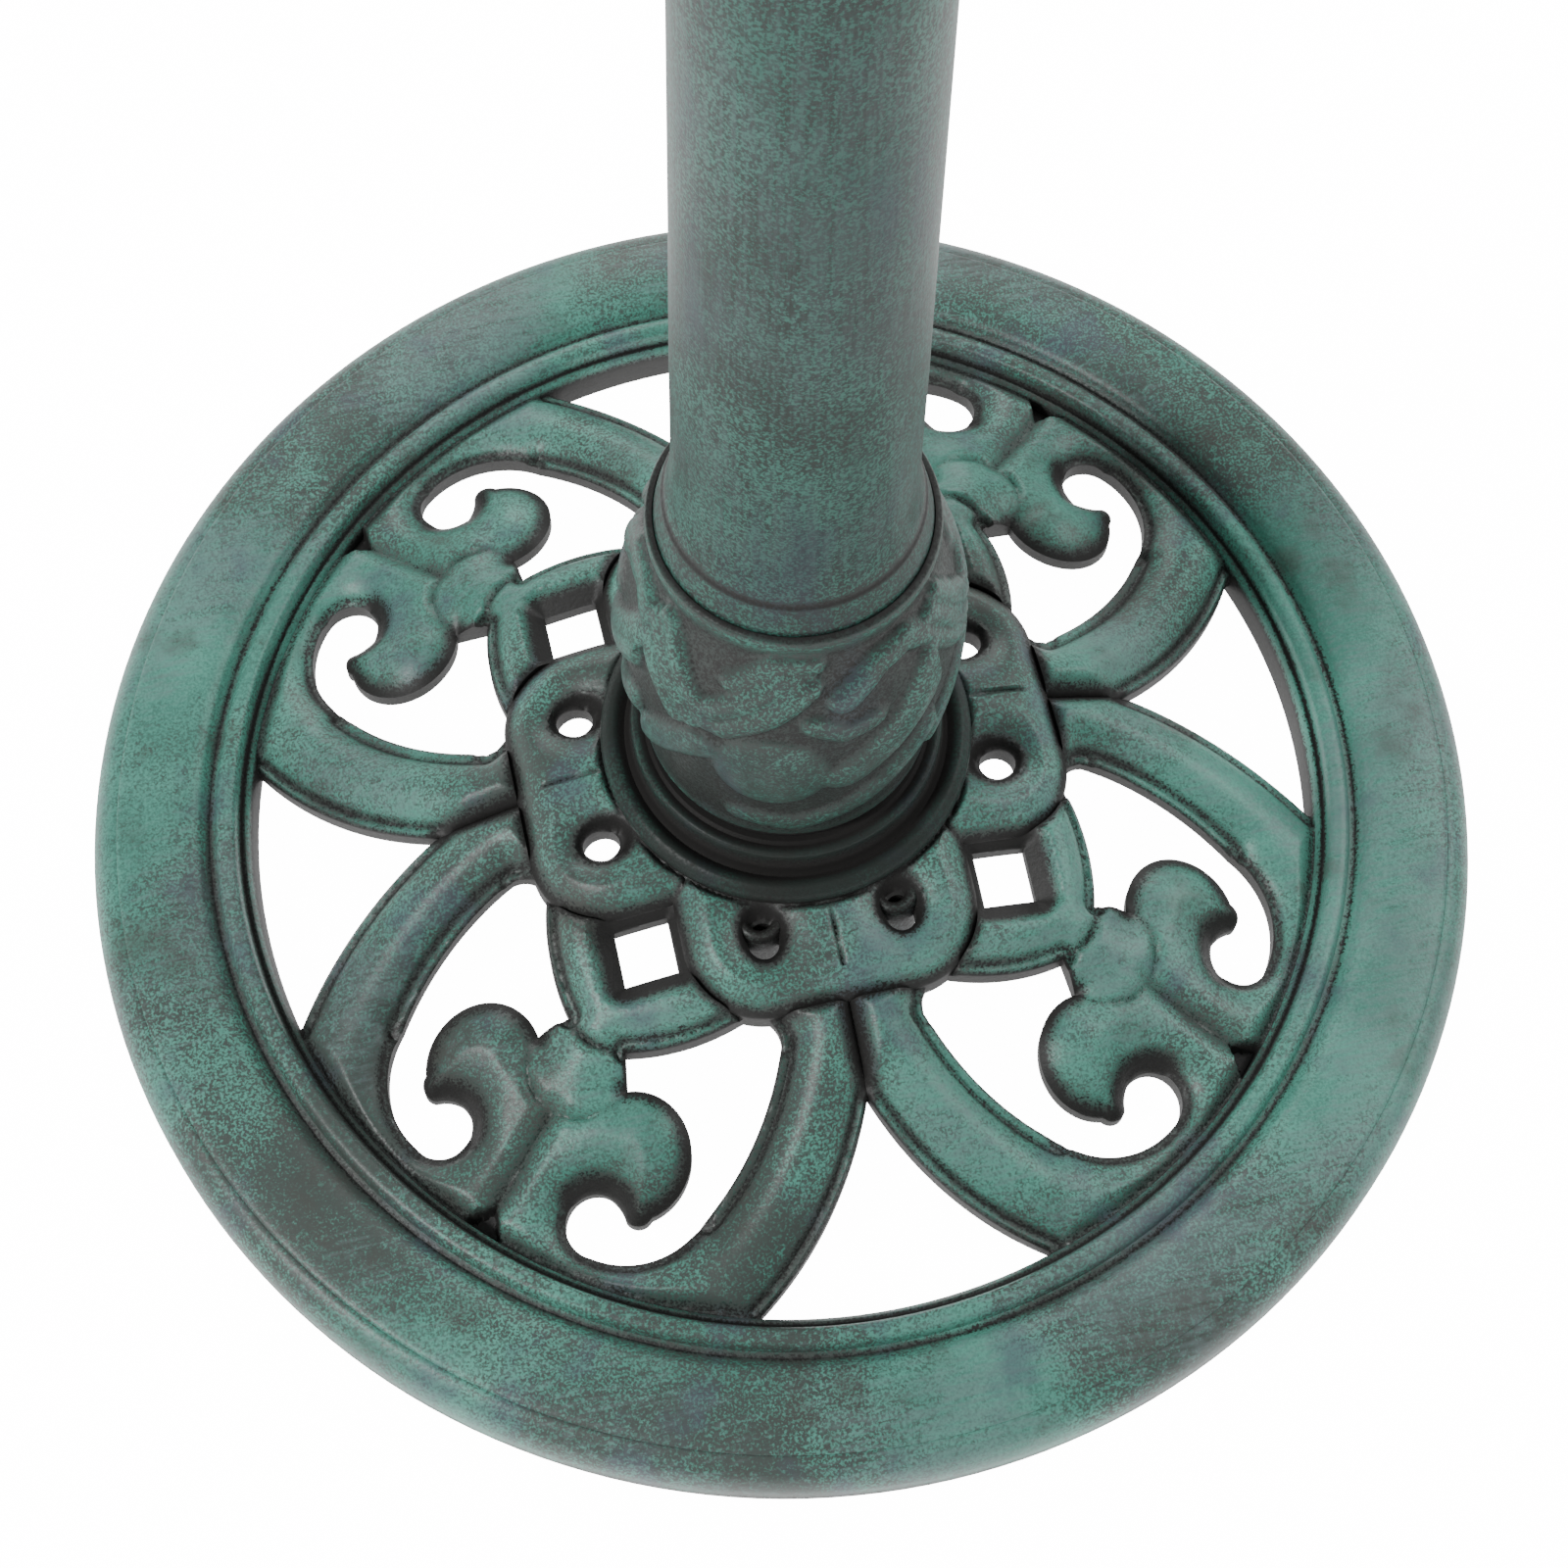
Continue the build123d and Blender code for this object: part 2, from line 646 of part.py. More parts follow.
def nozzle_place():
    """Frame of the nozzle: its Z axis leans forward over the bowl."""
    return Pos(0, boss_offset - 5, bubbler_base + bubbler_height - 6) * Rot(nozzle_lean, 0, 0)


def make_nozzle():
    nozzle = rod(nozzle_radius, 0, nozzle_length)
    nozzle += rod(nozzle_radius + 1.5, nozzle_length - 8, nozzle_length - 5)
    nozzle -= rod(nozzle_bore, -EPS, nozzle_length - 4)
    nozzle -= rod(nozzle_radius - 2, nozzle_length - 4, nozzle_length + EPS)
    return nozzle_place() * nozzle


def make_stream_insert():
    """Disc with two small jets that meet above the nozzle."""
    disc = rod(nozzle_radius - 2, nozzle_length - 4, nozzle_length - 1)
    for side in (-1, 1):
        disc -= rod(0.8, nozzle_length - 5, nozzle_length, 1.7 * side)
    return nozzle_place() * disc


def make_mouth_guard():
    """Hood behind and over the nozzle, open to the front."""
    shell = Sphere(guard_radius) - Sphere(guard_radius - guard_wall)
    keep = Pos(0, guard_radius * 0.9, 4) * Box(3 * guard_radius, 2 * guard_radius, 2 * guard_radius)
    hood = shell & keep
    ring = tube(guard_radius - 1, nozzle_radius, -nozzle_length * 0.42, -nozzle_length * 0.42 + 3)
    stay = Pos(0, guard_radius - 3, -nozzle_length * 0.21) * Box(8, 4, nozzle_length * 0.42)
    guard = hood + ring + stay
    guard -= rod(nozzle_radius, -nozzle_length, nozzle_length)
    return nozzle_place() * Pos(0, 0, nozzle_length - 2) * guard


def make_deck_gasket():
    return tube(bubbler_flange_radius, shank_radius + 0.2, gasket_base, bubbler_base, 0, boss_offset)


def make_shank_washer():
    top = capital_top - bowl_deck
    return tube(13.5, shank_radius + 0.2, top - washer_thickness, top, 0, boss_offset)


def make_shank_nut():
    top = capital_top - bowl_deck - washer_thickness
    return (hexagon(shank_nut_flats, top - nut_height, top, 0, boss_offset)
            - rod(shank_radius, top - 20, top + EPS, 0, boss_offset))


def make_bezel():
    ring = rod_y(barrel_radius, barrel_front - bezel_thickness, barrel_front, 0, button_axis)
    bore = button_radius + button_clearance
    return ring - rod_y(bore, barrel_front - bezel_thickness - EPS, barrel_front + EPS, 0, button_axis)


def make_button():
    front = shoulder_back - button_length
    button = rod_y(button_radius, front, shoulder_back, 0, button_axis)
    button = fillet(button.edges().sort_by(Axis.Y)[0], 2.0)
    button += rod_y(button_shoulder, barrel_front, shoulder_back, 0, button_axis)
    button -= rod_y(plunger_radius, shoulder_back - 6, shoulder_back + EPS, 0, button_axis)
    return button


def make_plunger():
    head = seat_plane + seat_thickness
    plunger = rod_y(plunger_radius, shoulder_back - 6, head, 0, button_axis)
    return plunger + rod_y(seat_radius, head, head + 3, 0, button_axis)


def make_seat_washer():
    washer = rod_y(seat_radius, seat_plane, seat_plane + seat_thickness, 0, button_axis)
    return washer - rod_y(plunger_radius, seat_plane - EPS, seat_plane + seat_thickness + EPS, 0, button_axis)


def make_button_spring():
    length = chamber_end - shoulder_back - spring_wire
    path = Helix(length / spring_turns, length, spring_radius)
    section = Plane(origin=path @ 0, z_dir=path % 0) * Circle(spring_wire / 2)
    spring = sweep(section, path=path, is_frenet=True)
    return Pos(0, shoulder_back + spring_wire / 2, button_axis) * Rot(-90, 0, 0) * spring


def make_flow_screw():
    end = bubbler_radius - 2.5
    screw = rod_x(flow_screw_radius, end - flow_screw_length, end, boss_offset, flow_level())
    screw += rod_x(flow_screw_head, end, end + 2.2, boss_offset, flow_level())
    screw -= Pos(end + 2.2, boss_offset, flow_level()) * Box(1.8, 12, 1.0)
    return screw


# ---------------------------------------------------------------- supply

def make_valve_body():
    """Quarter-turn stop valve on the end of the bubbler's shank."""
    y = boss_offset
    body = rod(valve_radius, valve_bottom + 4, valve_top - 4, 0, y)
    body += hexagon(2 * valve_radius + 2, valve_top - 4, shank_end + 8, 0, y)
    body += hexagon(2 * valve_radius, valve_bottom - 6, valve_bottom + 4, 0, y)
    body += rod_x(stem_radius + 2.5, 0, valve_radius + 2.5, y, valve_axis)
    body -= rod(shank_radius, shank_end, shank_end + 20, 0, y)
    body -= rod(3.5, valve_bottom - 4, shank_end + EPS, 0, y)
    body -= Pos(0, y, valve_axis) * Sphere(valve_ball_radius + pin_clearance)
    body -= rod_x(stem_radius + pin_clearance, 0, valve_radius + 5, y, valve_axis)
    body -= rod(riser_radius, valve_bottom - 10, valve_bottom + 1, 0, y)
    return body


def make_valve_ball():
    ball = Pos(0, boss_offset, valve_axis) * Sphere(valve_ball_radius)
    ball -= rod(3.5, valve_axis - 20, valve_axis + 20, 0, boss_offset)
    ball -= rod_x(stem_radius, valve_ball_radius - 2.0, valve_ball_radius + EPS, boss_offset, valve_axis)
    return ball


def make_valve_lever():
    """Stem and flat lever; the lever lies along the pipe when the valve is open."""
    y = boss_offset
    out = valve_radius + 3.0
    stem = rod_x(stem_radius, valve_ball_radius - 2.0, out + lever_thickness, y, valve_axis)
    blade = Pos(out + lever_thickness / 2, y, valve_axis - lever_length / 2)
    blade *= Box(lever_thickness, lever_width, lever_length)
    tip = rod_x(lever_width / 2, out, out + lever_thickness, y, valve_axis - lever_length)
    hub = rod_x(lever_width / 2 + 1, out, out + lever_thickness, y, valve_axis)
    return stem + blade + tip + hub - lever_screw_hole(y, out)


def lever_screw_hole(y, out):
    return rod_x(1.2, out - 6, out + lever_thickness + EPS, y, valve_axis)


def make_lever_screw():
    out = valve_radius + 3.0
    screw = rod_x(1.2, out - 6, out + lever_thickness, boss_offset, valve_axis)
    return screw + rod_x(2.4, out + lever_thickness, out + lever_thickness + 1.6, boss_offset, valve_axis)


def make_riser():
    """Supply pipe: down from the valve, into the column and out under the base."""
    points = [(0, boss_offset, valve_bottom + 1),
              (0, boss_offset, valve_bottom - 14),
              (0, riser_offset, tube_end + 16),
              (0, riser_offset, flange_top + 70),
              (0, inlet_offset, flange_top + 48),
              (0, inlet_offset, pipe_foot + inlet_thread_length + 4)]
    path = FilletPolyline(*points, radius=14.0)
    start = Plane(origin=points[0], z_dir=(0, 0, -1))
    return sweep(start * Circle(riser_radius), path=path) - sweep(start * Circle(riser_radius - riser_wall),
                                                                  path=path)


def make_inlet():
    """Threaded connector for the supply, pointing down under the base."""
    y = inlet_offset
    thread_top = pipe_foot + inlet_thread_length
    hex_top = thread_top + inlet_hex
    connector = rod(inlet_thread_radius, pipe_foot, thread_top - inlet_undercut, 0, y)
    connector += rod(inlet_core_radius, thread_top - inlet_undercut, thread_top, 0, y)
    connector += hexagon(inlet_flats, thread_top, hex_top, 0, y)
    connector -= rod(riser_radius, thread_top + 4, hex_top + EPS, 0, y)
    connector -= rod(riser_radius - riser_wall, pipe_foot - EPS, thread_top + 5, 0, y)
    return connector


def make_inlet_washer():
    top = pipe_foot + inlet_thread_length
    low = top - inlet_washer_thickness
    return tube(inlet_washer_radius, inlet_core_radius + 0.1, low, top, 0, inlet_offset)


# ---------------------------------------------------------------- write

def build():
    skin = dome()
    nodes = {"base_ring": make_base_ring(), "hub_knot": make_knot(skin)}
    for number, angle in enumerate(diagonals, 1):
        nodes[f"scroll_panel_{number}"] = make_scroll_panel(angle, skin)
    nodes.update({
        "flange_screws": make_flange_screws(),
        "column_flange": make_flange(),
        "leaf_collar": make_collar(),
        "column_tube": make_column_tube(),
        "capital": make_capital(),
        "head_screws": make_head_screws(),
        "bowl": make_bowl(),
        "drain_body": make_drain_body(),
        "drain_gasket": make_drain_gasket(),
        "drain_nut": make_drain_nut(),
        "strainer": make_strainer(),
        "strainer_screw": make_strainer_screw(),
        "waste_pipe": make_waste_pipe(),
        "bubbler_body": make_bubbler_body(),
        "nozzle": make_nozzle(),
        "stream_insert": make_stream_insert(),
        "mouth_guard": make_mouth_guard(),
        "deck_gasket": make_deck_gasket(),
        "shank_washer": make_shank_washer(),
        "shank_nut": make_shank_nut(),
        "button_bezel": make_bezel(),
        "push_button": make_button(),
        "plunger": make_plunger(),
        "seat_washer": make_seat_washer(),
        "button_spring": make_button_spring(),
        "flow_screw": make_flow_screw(),
        "valve_body": make_valve_body(),
        "valve_ball": make_valve_ball(),
        "valve_lever": make_valve_lever(),
        "lever_screw": make_lever_screw(),
        "riser_pipe": make_riser(),
        "inlet_connector": make_inlet(),
        "inlet_washer": make_inlet_washer(),
    })
    return nodes


def main():
    os.makedirs("parts", exist_ok=True)
    for name, shape in build().items():
        solids = shape if isinstance(shape, list) else shape.solids()
        export_step(Compound(children=list(solids)) if len(solids) > 1 else solids[0], f"parts/{name}.step")
        print(name, len(solids), [round(v, 1) for v in Compound(children=list(solids)).bounding_box().size])


if __name__ == "__main__":
    main()
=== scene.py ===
import json
import math

import bpy
import numpy as np
from bpy.props import FloatProperty, FloatVectorProperty, IntProperty, PointerProperty
from mathutils import Matrix, Vector
from mathutils.geometry import delaunay_2d_cdt


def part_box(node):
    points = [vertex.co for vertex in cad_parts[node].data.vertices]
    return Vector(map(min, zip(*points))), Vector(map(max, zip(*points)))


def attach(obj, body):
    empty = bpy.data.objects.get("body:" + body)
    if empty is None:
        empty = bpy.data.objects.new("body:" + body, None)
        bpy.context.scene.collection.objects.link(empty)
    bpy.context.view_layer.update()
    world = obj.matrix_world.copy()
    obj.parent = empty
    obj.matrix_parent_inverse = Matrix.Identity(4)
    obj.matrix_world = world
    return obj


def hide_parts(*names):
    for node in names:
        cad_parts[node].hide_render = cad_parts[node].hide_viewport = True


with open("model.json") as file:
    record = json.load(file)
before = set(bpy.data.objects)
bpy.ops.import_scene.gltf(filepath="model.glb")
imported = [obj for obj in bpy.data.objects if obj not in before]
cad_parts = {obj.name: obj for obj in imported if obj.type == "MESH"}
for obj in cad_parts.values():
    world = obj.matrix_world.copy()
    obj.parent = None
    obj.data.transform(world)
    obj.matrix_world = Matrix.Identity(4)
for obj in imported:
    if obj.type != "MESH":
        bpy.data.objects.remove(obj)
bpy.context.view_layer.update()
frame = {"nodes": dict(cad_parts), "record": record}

bl_info = {
    "name": "Pedestal drinking fountain",
    "version": (1, 0, 0),
    "blender": (4, 5, 0),
    "location": "View3D > Sidebar > Fountain",
    "description": "Moulded scroll-work pedestal, leaf collar, bowl and bubbler with aged finishes",
    "category": "Add Mesh",
}

STAND = "stand"
MM = 0.001

# Sizes in millimetres. Those of whole pieces are read from the frame.
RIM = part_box("base_ring")[1].x / MM
RIM_WIDTH = 52.0
PANEL = RIM - RIM_WIDTH                  # circle where the panels meet the rim
DRAWN = 173.0                            # the scroll pattern is drawn for a circle of this radius
PATTERN = PANEL / DRAWN
PANEL_HEIGHT = 16.5                      # crown of the panels where they meet the rim
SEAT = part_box("hub_knot")[1].z / MM      # top of the knot, under the column flange
KNOT_LIFT = 1.2                          # crown of the knot above the panels' crown
KNOT_BORE = 38.0
EDGE_ROW = 1.1                           # first row of points inside an edge
POST, POST_BORE = 8.0, 3.5               # radii of the anchor posts under the knot
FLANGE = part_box("column_flange")[1].x / MM
FLANGE_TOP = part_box("column_flange")[1].z / MM
COLLAR_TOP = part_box("leaf_collar")[1].z / MM
COLLAR_SOCKET = 6.0                      # depth of the seat for the tube in the collar's top
TUBE_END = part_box("column_tube")[1].z / MM
TUBE, TUBE_BORE = 26.5, 23.5             # radii at the top of the tube
CAPITAL_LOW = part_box("capital")[0].z / MM
CAPITAL_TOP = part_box("capital")[1].z / MM
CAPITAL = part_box("capital")[1].x / MM
BELL_NECK = 33.0                         # radius of the bell at the end of the tube
BELL_WALL = 5.0
BELL_BAND = 18.0                         # upright band at the top of the bell
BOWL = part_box("bowl")[1].x / MM
BOWL_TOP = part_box("bowl")[1].z / MM
BOWL_FLOOR = 14.0                        # floor above the top of the bell
RIM_ROLL = 8.0                           # radius of the bowl's rolled rim
DRAIN, DRAIN_RECESS = 16.4, 24.5         # radii of the hole for the drain and of its seat


# ---------------------------------------------------------------- settings

def length(name, description, default):
    return FloatProperty(name=name, description=description, default=default, min=0.0, unit="LENGTH")


def colour(name, description, default):
    return FloatVectorProperty(name=name, description=description, default=default, size=3,
                               min=0.0, max=1.0, subtype="COLOR")


class FountainRelief(bpy.types.PropertyGroup):
    """Sizes of the moulded relief."""

    ledge_width: length("Ledge width", "Low ledge along the edges of the arms", 3.6 * MM)
    ledge_depth: length("Ledge depth", "Ledge below the crown of an arm", 7.6 * MM)
    band_round: length("Band rounding", "Width over which an arm rounds up to its crown", 12.5 * MM)
    skin: length("Panel depth", "Crown of the scroll work to its underside", 14.0 * MM)
    step: length("Surface step", "Spacing of the points on a relief surface", 1.05 * MM)
    leaf_height: length("Leaf height", "How far the leaves stand out of the collar", 3.4 * MM)
    turns: IntProperty(name="Round divisions", description="Divisions round a turned piece",
                       default=192, min=24)


class FountainFinish(bpy.types.PropertyGroup):
    """Colours of the finishes."""

    green: colour("Verdigris", "Colour brushed over the raised parts", (0.104, 0.356, 0.278))
    dull: colour("Worn green", "Colour where the green is thin", (0.086, 0.108, 0.098))
    # Dark brown ground paint, also used as painted shade in grooves, on walls and under the relief
    ground_and_shade_brown: colour("Ground", "Dark ground colour left in the hollows", (0.030, 0.029, 0.028))
    # Blue-grey dry brush on the crowns, partly a painted highlight
    dry_brush_and_highlight: colour("Dry brush", "Blue grey dragged over the crowns", (0.205, 0.275, 0.280))
    brass: colour("Aged brass", "Colour of the cast brass fittings", (0.36, 0.235, 0.095))
    steel: colour("Steel", "Colour of the stainless pieces", (0.55, 0.56, 0.56))


class FountainStage(bpy.types.PropertyGroup):
    """Floor and light."""

    floor: colour("Floor", "Colour of the floor", (0.93, 0.93, 0.93))
    glow: FloatProperty(name="Floor glow", description="Light that the floor throws on the piece",
                        default=1.1)
    paper: FloatProperty(name="Floor brightness", description="How bright the floor itself looks",
                         default=15.0)
    sky: FloatProperty(name="Ambient light", description="Strength of the light from all round",
                       default=0.27)
    key: FloatProperty(name="Key light", description="Power of the main light",
                       default=17.0, unit="POWER")


# ---------------------------------------------------------------- shader maths

class Number:
    """A number at a shader socket. Sums on it add Math nodes."""

    def __init__(self, graph, socket):
        self.graph = graph
        self.socket = socket

    def math(self, operation, first, second=0.0, clamp=False):
        node = self.graph.node("ShaderNodeMath", {"operation": operation, "use_clamp": clamp},
                               {0: first, 1: second})
        return Number(self.graph, node.outputs[0])

    def __add__(self, other):
        return self.math("ADD", self, other)

    __radd__ = __add__

    def __sub__(self, other):
        return self.math("SUBTRACT", self, other)

    def __rsub__(self, other):
        return self.math("SUBTRACT", other, self)

    def __mul__(self, other):
        return self.math("MULTIPLY", self, other)

    __rmul__ = __mul__

    def clamped(self):
        return self.math("ADD", self, 0.0, clamp=True)

    def between(self, low, high):
        """0 below low, 1 above high, smooth in between."""
        node = self.graph.node("ShaderNodeMapRange", {"interpolation_type": "SMOOTHSTEP"},
                               {"Value": self, "From Min": low, "From Max": high})
        return Number(self.graph, node.outputs["Result"])


class Graph:
    """The node tree of a new material."""

    def __init__(self, name):
        self.material = bpy.data.materials.new(name)
        self.material.use_nodes = True
        self.tree = self.material.node_tree
        self.shader = self.tree.nodes["Principled BSDF"]
        self.place = self.node("ShaderNodeTexCoord", {}, {}).outputs["Object"]

    def node(self, kind, settings, sockets):
        node = self.tree.nodes.new(kind)
        for key, value in settings.items():
            setattr(node, key, value)
        for key, value in sockets.items():
            self.join(value, node.inputs[key])
        return node

    def join(self, value, socket):
        if isinstance(value, Number):
            value = value.socket
        if isinstance(value, bpy.types.NodeSocket):
            self.tree.links.new(value, socket)
        else:
            socket.default_value = value

    def mapped(self, turn=(0.0, 0.0, 0.0), scale=(1.0, 1.0, 1.0)):
        node = self.node("ShaderNodeMapping", {},
                         {"Vector": self.place, "Rotation": turn, "Scale": scale})
        return node.outputs["Vector"]

    def noise(self, scale, detail=2.0, rough=0.5, place=None, distortion=0.0):
        node = self.node("ShaderNodeTexNoise", {},
                         {"Vector": place or self.place, "Scale": scale, "Detail": detail,
                          "Roughness": rough, "Distortion": distortion})
        return Number(self, node.outputs["Fac"])

    def attribute(self, name):
        node = self.node("ShaderNodeAttribute", {"attribute_name": name}, {})
        return Number(self, node.outputs["Fac"])

    def blend(self, factor, first, second):
        """Colour between two colours."""
        node = self.node("ShaderNodeMix", {"data_type": "RGBA"}, {0: factor, 6: first, 7: second})
        return node.outputs[2]

    def bump(self, height, distance, strength=1.0):
        node = self.node("ShaderNodeBump", {},
                         {"Height": height, "Distance": distance, "Strength": strength})
        return node.outputs["Normal"]

    def finish(self, **sockets):
        for name, value in sockets.items():
            self.join(value, self.shader.inputs[name.replace("_", " ")])
        return self.material


def rgba(value):
    return (*value, 1.0)


def scaled(tint, factor, more=0.0):
    """The colour made darker or lighter."""
    return tuple(min(1.0, v * factor + more) for v in tint)


# ---------------------------------------------------------------- finishes

def verdigris(name, finish, cover=0.0, brush_turn=(0.0, 0.0, 0.6), brush_scale=(60.0, 700.0, 700.0),
              dry_brush_and_highlight=0.52, patch=1.2, tone=1.0, shine=0.5):
    """Green brushed over a dark ground: it stays off the hollows and in patches elsewhere. The dark in the
    hollows is partly painted shade, and the blue-grey dry brush on the crowns is partly a painted highlight.
    """
    g = Graph(name)
    green, dull, pale = (scaled(tint, tone) for tint in (finish.green, finish.dull, finish.dry_brush_and_highlight))
    bluish = dull[0] * 1.25, dull[1] * 1.15, dull[2] * 1.75
    brownish = dull[0] * 1.1, dull[1] * 0.8, dull[2] * 0.8
    # Per-point mix of dark ground and painted shade, worked out with each piece
    hollow = g.attribute("hollow")
    patches = g.noise(9.0, 4.0, 0.58, distortion=0.3)
    cloud = g.noise(34.0, 3.0, 0.6)
    stipple = g.noise(900.0, 2.0, 0.65)
    grain = g.noise(300.0, 3.0, 0.7)
    brush = g.noise(1.0, 3.0, 0.6, place=g.mapped(brush_turn, brush_scale))
    fleck = g.noise(1150.0, 1.5, 0.6).between(0.44, 0.60)
    speck = (stipple - 0.5) * 1.3 + (grain - 0.5) * 1.1 + (fleck - 0.5) * 0.75
    thick = (0.57 + cover + (patches - 0.5) * (2.8 * patch) + (cloud - 0.5) * 0.8 + speck * 0.75
             + (brush - 0.5) * 0.4 - hollow * 0.35).between(0.0, 0.85)
    lively = (g.noise(21.0, 2.0).between(0.35, 0.7) + speck * 0.7).clamped()
    paint = g.blend(lively, rgba(scaled(green, 0.80)), rgba(scaled(green, 1.26, 0.008)))
    body = g.blend(thick, rgba(dull), paint)
    # Dry brush on the crowns, kept off the hollows: partly real dry-brush paint, partly a painted highlight
    rubbed_and_highlight = ((brush - 0.5) * 1.6 + (g.noise(15.0, 2.0) - 0.5) * 2.2 + (grain - 0.5) * 0.8
              - hollow * 0.8 + 0.22).between(0.05, 0.8) * dry_brush_and_highlight
    body = g.blend(rubbed_and_highlight, body, rgba(pale))
    drift = g.noise(1.0, 3.0, 0.6, place=g.mapped(scale=(38.0, 38.0, 9.0)))
    body = g.blend(drift.between(0.54, 0.72) * 0.5, body, rgba(bluish))
    body = g.blend((1.0 - drift).between(0.56, 0.72) * 0.45, body, rgba(brownish))
    # Dark brown in grooves, on walls and at feet: partly the dark ground, partly painted shade
    dark = (hollow * 1.25 + speck * 0.62 - (cloud - 0.5) * 0.5).between(0.38, 1.0)
    body = g.blend(dark, body, rgba(finish.ground_and_shade_brown))
    rough = 0.40 + dark * 0.12 + (stipple - 0.5) * 0.16
    height = stipple * 0.5 + brush * 0.35 + grain * 0.5
    return g.finish(Base_Color=body, Roughness=rough, Specular_IOR_Level=shine,
                    Normal=g.bump(height, 0.00026, 0.7))


def cast_metal(name, tint, rough=0.3, dark=0.35, spot=90.0):
    """Aged cast metal: darker in patches, fine grain, duller where it's dark."""
    g = Graph(name)
    patches = g.noise(spot, 5.0, 0.62)
    grain = g.noise(1400.0, 2.0)
    clean = patches.between(0.36, 0.62)
    body = g.blend(clean, rgba(scaled(tint, dark)), rgba(tint))
    return g.finish(Base_Color=body, Metallic=1.0, Roughness=rough + 0.2 - clean * 0.2 + grain * 0.06,
                    Normal=g.bump(grain + patches * 0.6, 0.00012, 0.5))


def turned_metal(name, tint, rough=0.26):
    """Brushed or machined metal with fine lines round it."""
    g = Graph(name)
    lines = g.noise(1.0, 2.0, place=g.mapped(scale=(90.0, 90.0, 4200.0)))
    smear = g.noise(70.0, 3.0)
    body = g.blend(smear.between(0.3, 0.7), rgba(scaled(tint, 0.82)), rgba(tint))
    return g.finish(Base_Color=body, Metallic=1.0, Roughness=rough + lines * 0.14 + smear * 0.05,
                    Normal=g.bump(lines, 0.00005, 0.5))


def plain(name, tint, rough, grain=600.0, relief=0.0001):
    """Rubber or extruded plastic with a fine skin."""
    g = Graph(name)
    skin = g.noise(grain, 3.0)
    dust = g.noise(40.0, 3.0).between(0.45, 0.75)
    body = g.blend(dust * 0.35, rgba(tint), rgba(scaled(tint, 1.5, 0.02)))
    return g.finish(Base_Color=body, Roughness=rough + skin * 0.12, Normal=g.bump(skin, relief, 0.5))


FINISHES = {}


def make_finishes():
    finish = bpy.context.scene.fountain_finish
    FINISHES.update({
        "moulded_verdigris": verdigris("moulded_verdigris", finish),
        "leaf_verdigris": verdigris("leaf_verdigris", finish, cover=-0.20, dry_brush_and_highlight=0.3, patch=0.5,
                                    tone=0.55, shine=0.3),
        "tube_verdigris": verdigris("tube_verdigris", finish, cover=-0.22, dry_brush_and_highlight=0.45, patch=0.6,
                                    tone=0.38, shine=0.22, brush_turn=(0.0, 0.0, 0.0),
                                    brush_scale=(900.0, 900.0, 26.0)),
        "antique_brass": cast_metal("antique_brass", tuple(finish.brass)),
        "machined_brass": turned_metal("machined_brass", (0.60, 0.42, 0.18)),
        "stainless": turned_metal("stainless", tuple(finish.steel)),
        "zinc_screw": turned_metal("zinc_screw", (0.42, 0.42, 0.40), 0.34),
        "black_rubber": plain("black_rubber", (0.018, 0.018, 0.018), 0.62),
        "copper_pipe": turned_metal("copper_pipe", (0.52, 0.24, 0.13), 0.3),
        "waste_plastic": plain("waste_plastic", (0.10, 0.105, 0.11), 0.45),
    })


# ---------------------------------------------------------------- mesh helpers

def mesh_object(name, points, faces, hollow, slot, crease=38.0):
    """Closed piece from points in millimetres, with its dark ground and painted shade at each point."""
    mesh = bpy.data.meshes.new(name)
    mesh.from_pydata([tuple(p) for p in np.asarray(points) * MM], [], faces)
    # Dark ground and painted shade per point, read by the finish
    mesh.attributes.new("hollow", "FLOAT", "POINT").data.foreach_set("value", np.asarray(hollow, "f"))
    mesh.polygons.foreach_set("use_smooth", [True] * len(mesh.polygons))
    mesh.set_sharp_from_angle(angle=math.radians(crease))
    mesh.materials.append(FINISHES[slot])
    piece = bpy.data.objects.new(name, mesh)
    bpy.context.collection.objects.link(piece)
    return piece


def place(piece, slot, *nodes):
    """Says which body the piece rides on and hides the nodes it stands for. The slot it is given is not used.
    """
    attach(piece, STAND)
    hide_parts(*nodes)


def smooth_line(stations, step=1.0):
    """Points along straight runs and curves.

    A station is (r, z), a pair of (through, end), or three points of (handle, handle, end)."""
    out = [stations[0]]
    for station in stations[1:]:
        if np.ndim(station[0]) == 0:
            out.append(tuple(station))
            continue
        start = np.array(out[-1], float)
        *handles, end = (np.array(p, float) for p in station)
        if len(handles) == 1:
            middle = 2.0 * handles[0] - (start + end) / 2.0
            handles = [(start + 2.0 * middle) / 3.0, (end + 2.0 * middle) / 3.0]
        count = max(4, int(np.linalg.norm(end - start) / step))
        for i in range(1, count + 1):
            t = i / count
            near = (1 - t) ** 2 * ((1 - t) * start + 3 * t * handles[0])
            far = t * t * (3 * (1 - t) * handles[1] + t * end)
            out.append(tuple(near + far))
    return out


def loop_area(loop):
    """Twice the area of a closed loop, negative when it runs clockwise."""
    return np.sum(loop[:, 0] * np.roll(loop[:, 1], -1) - np.roll(loop[:, 0], -1) * loop[:, 1])


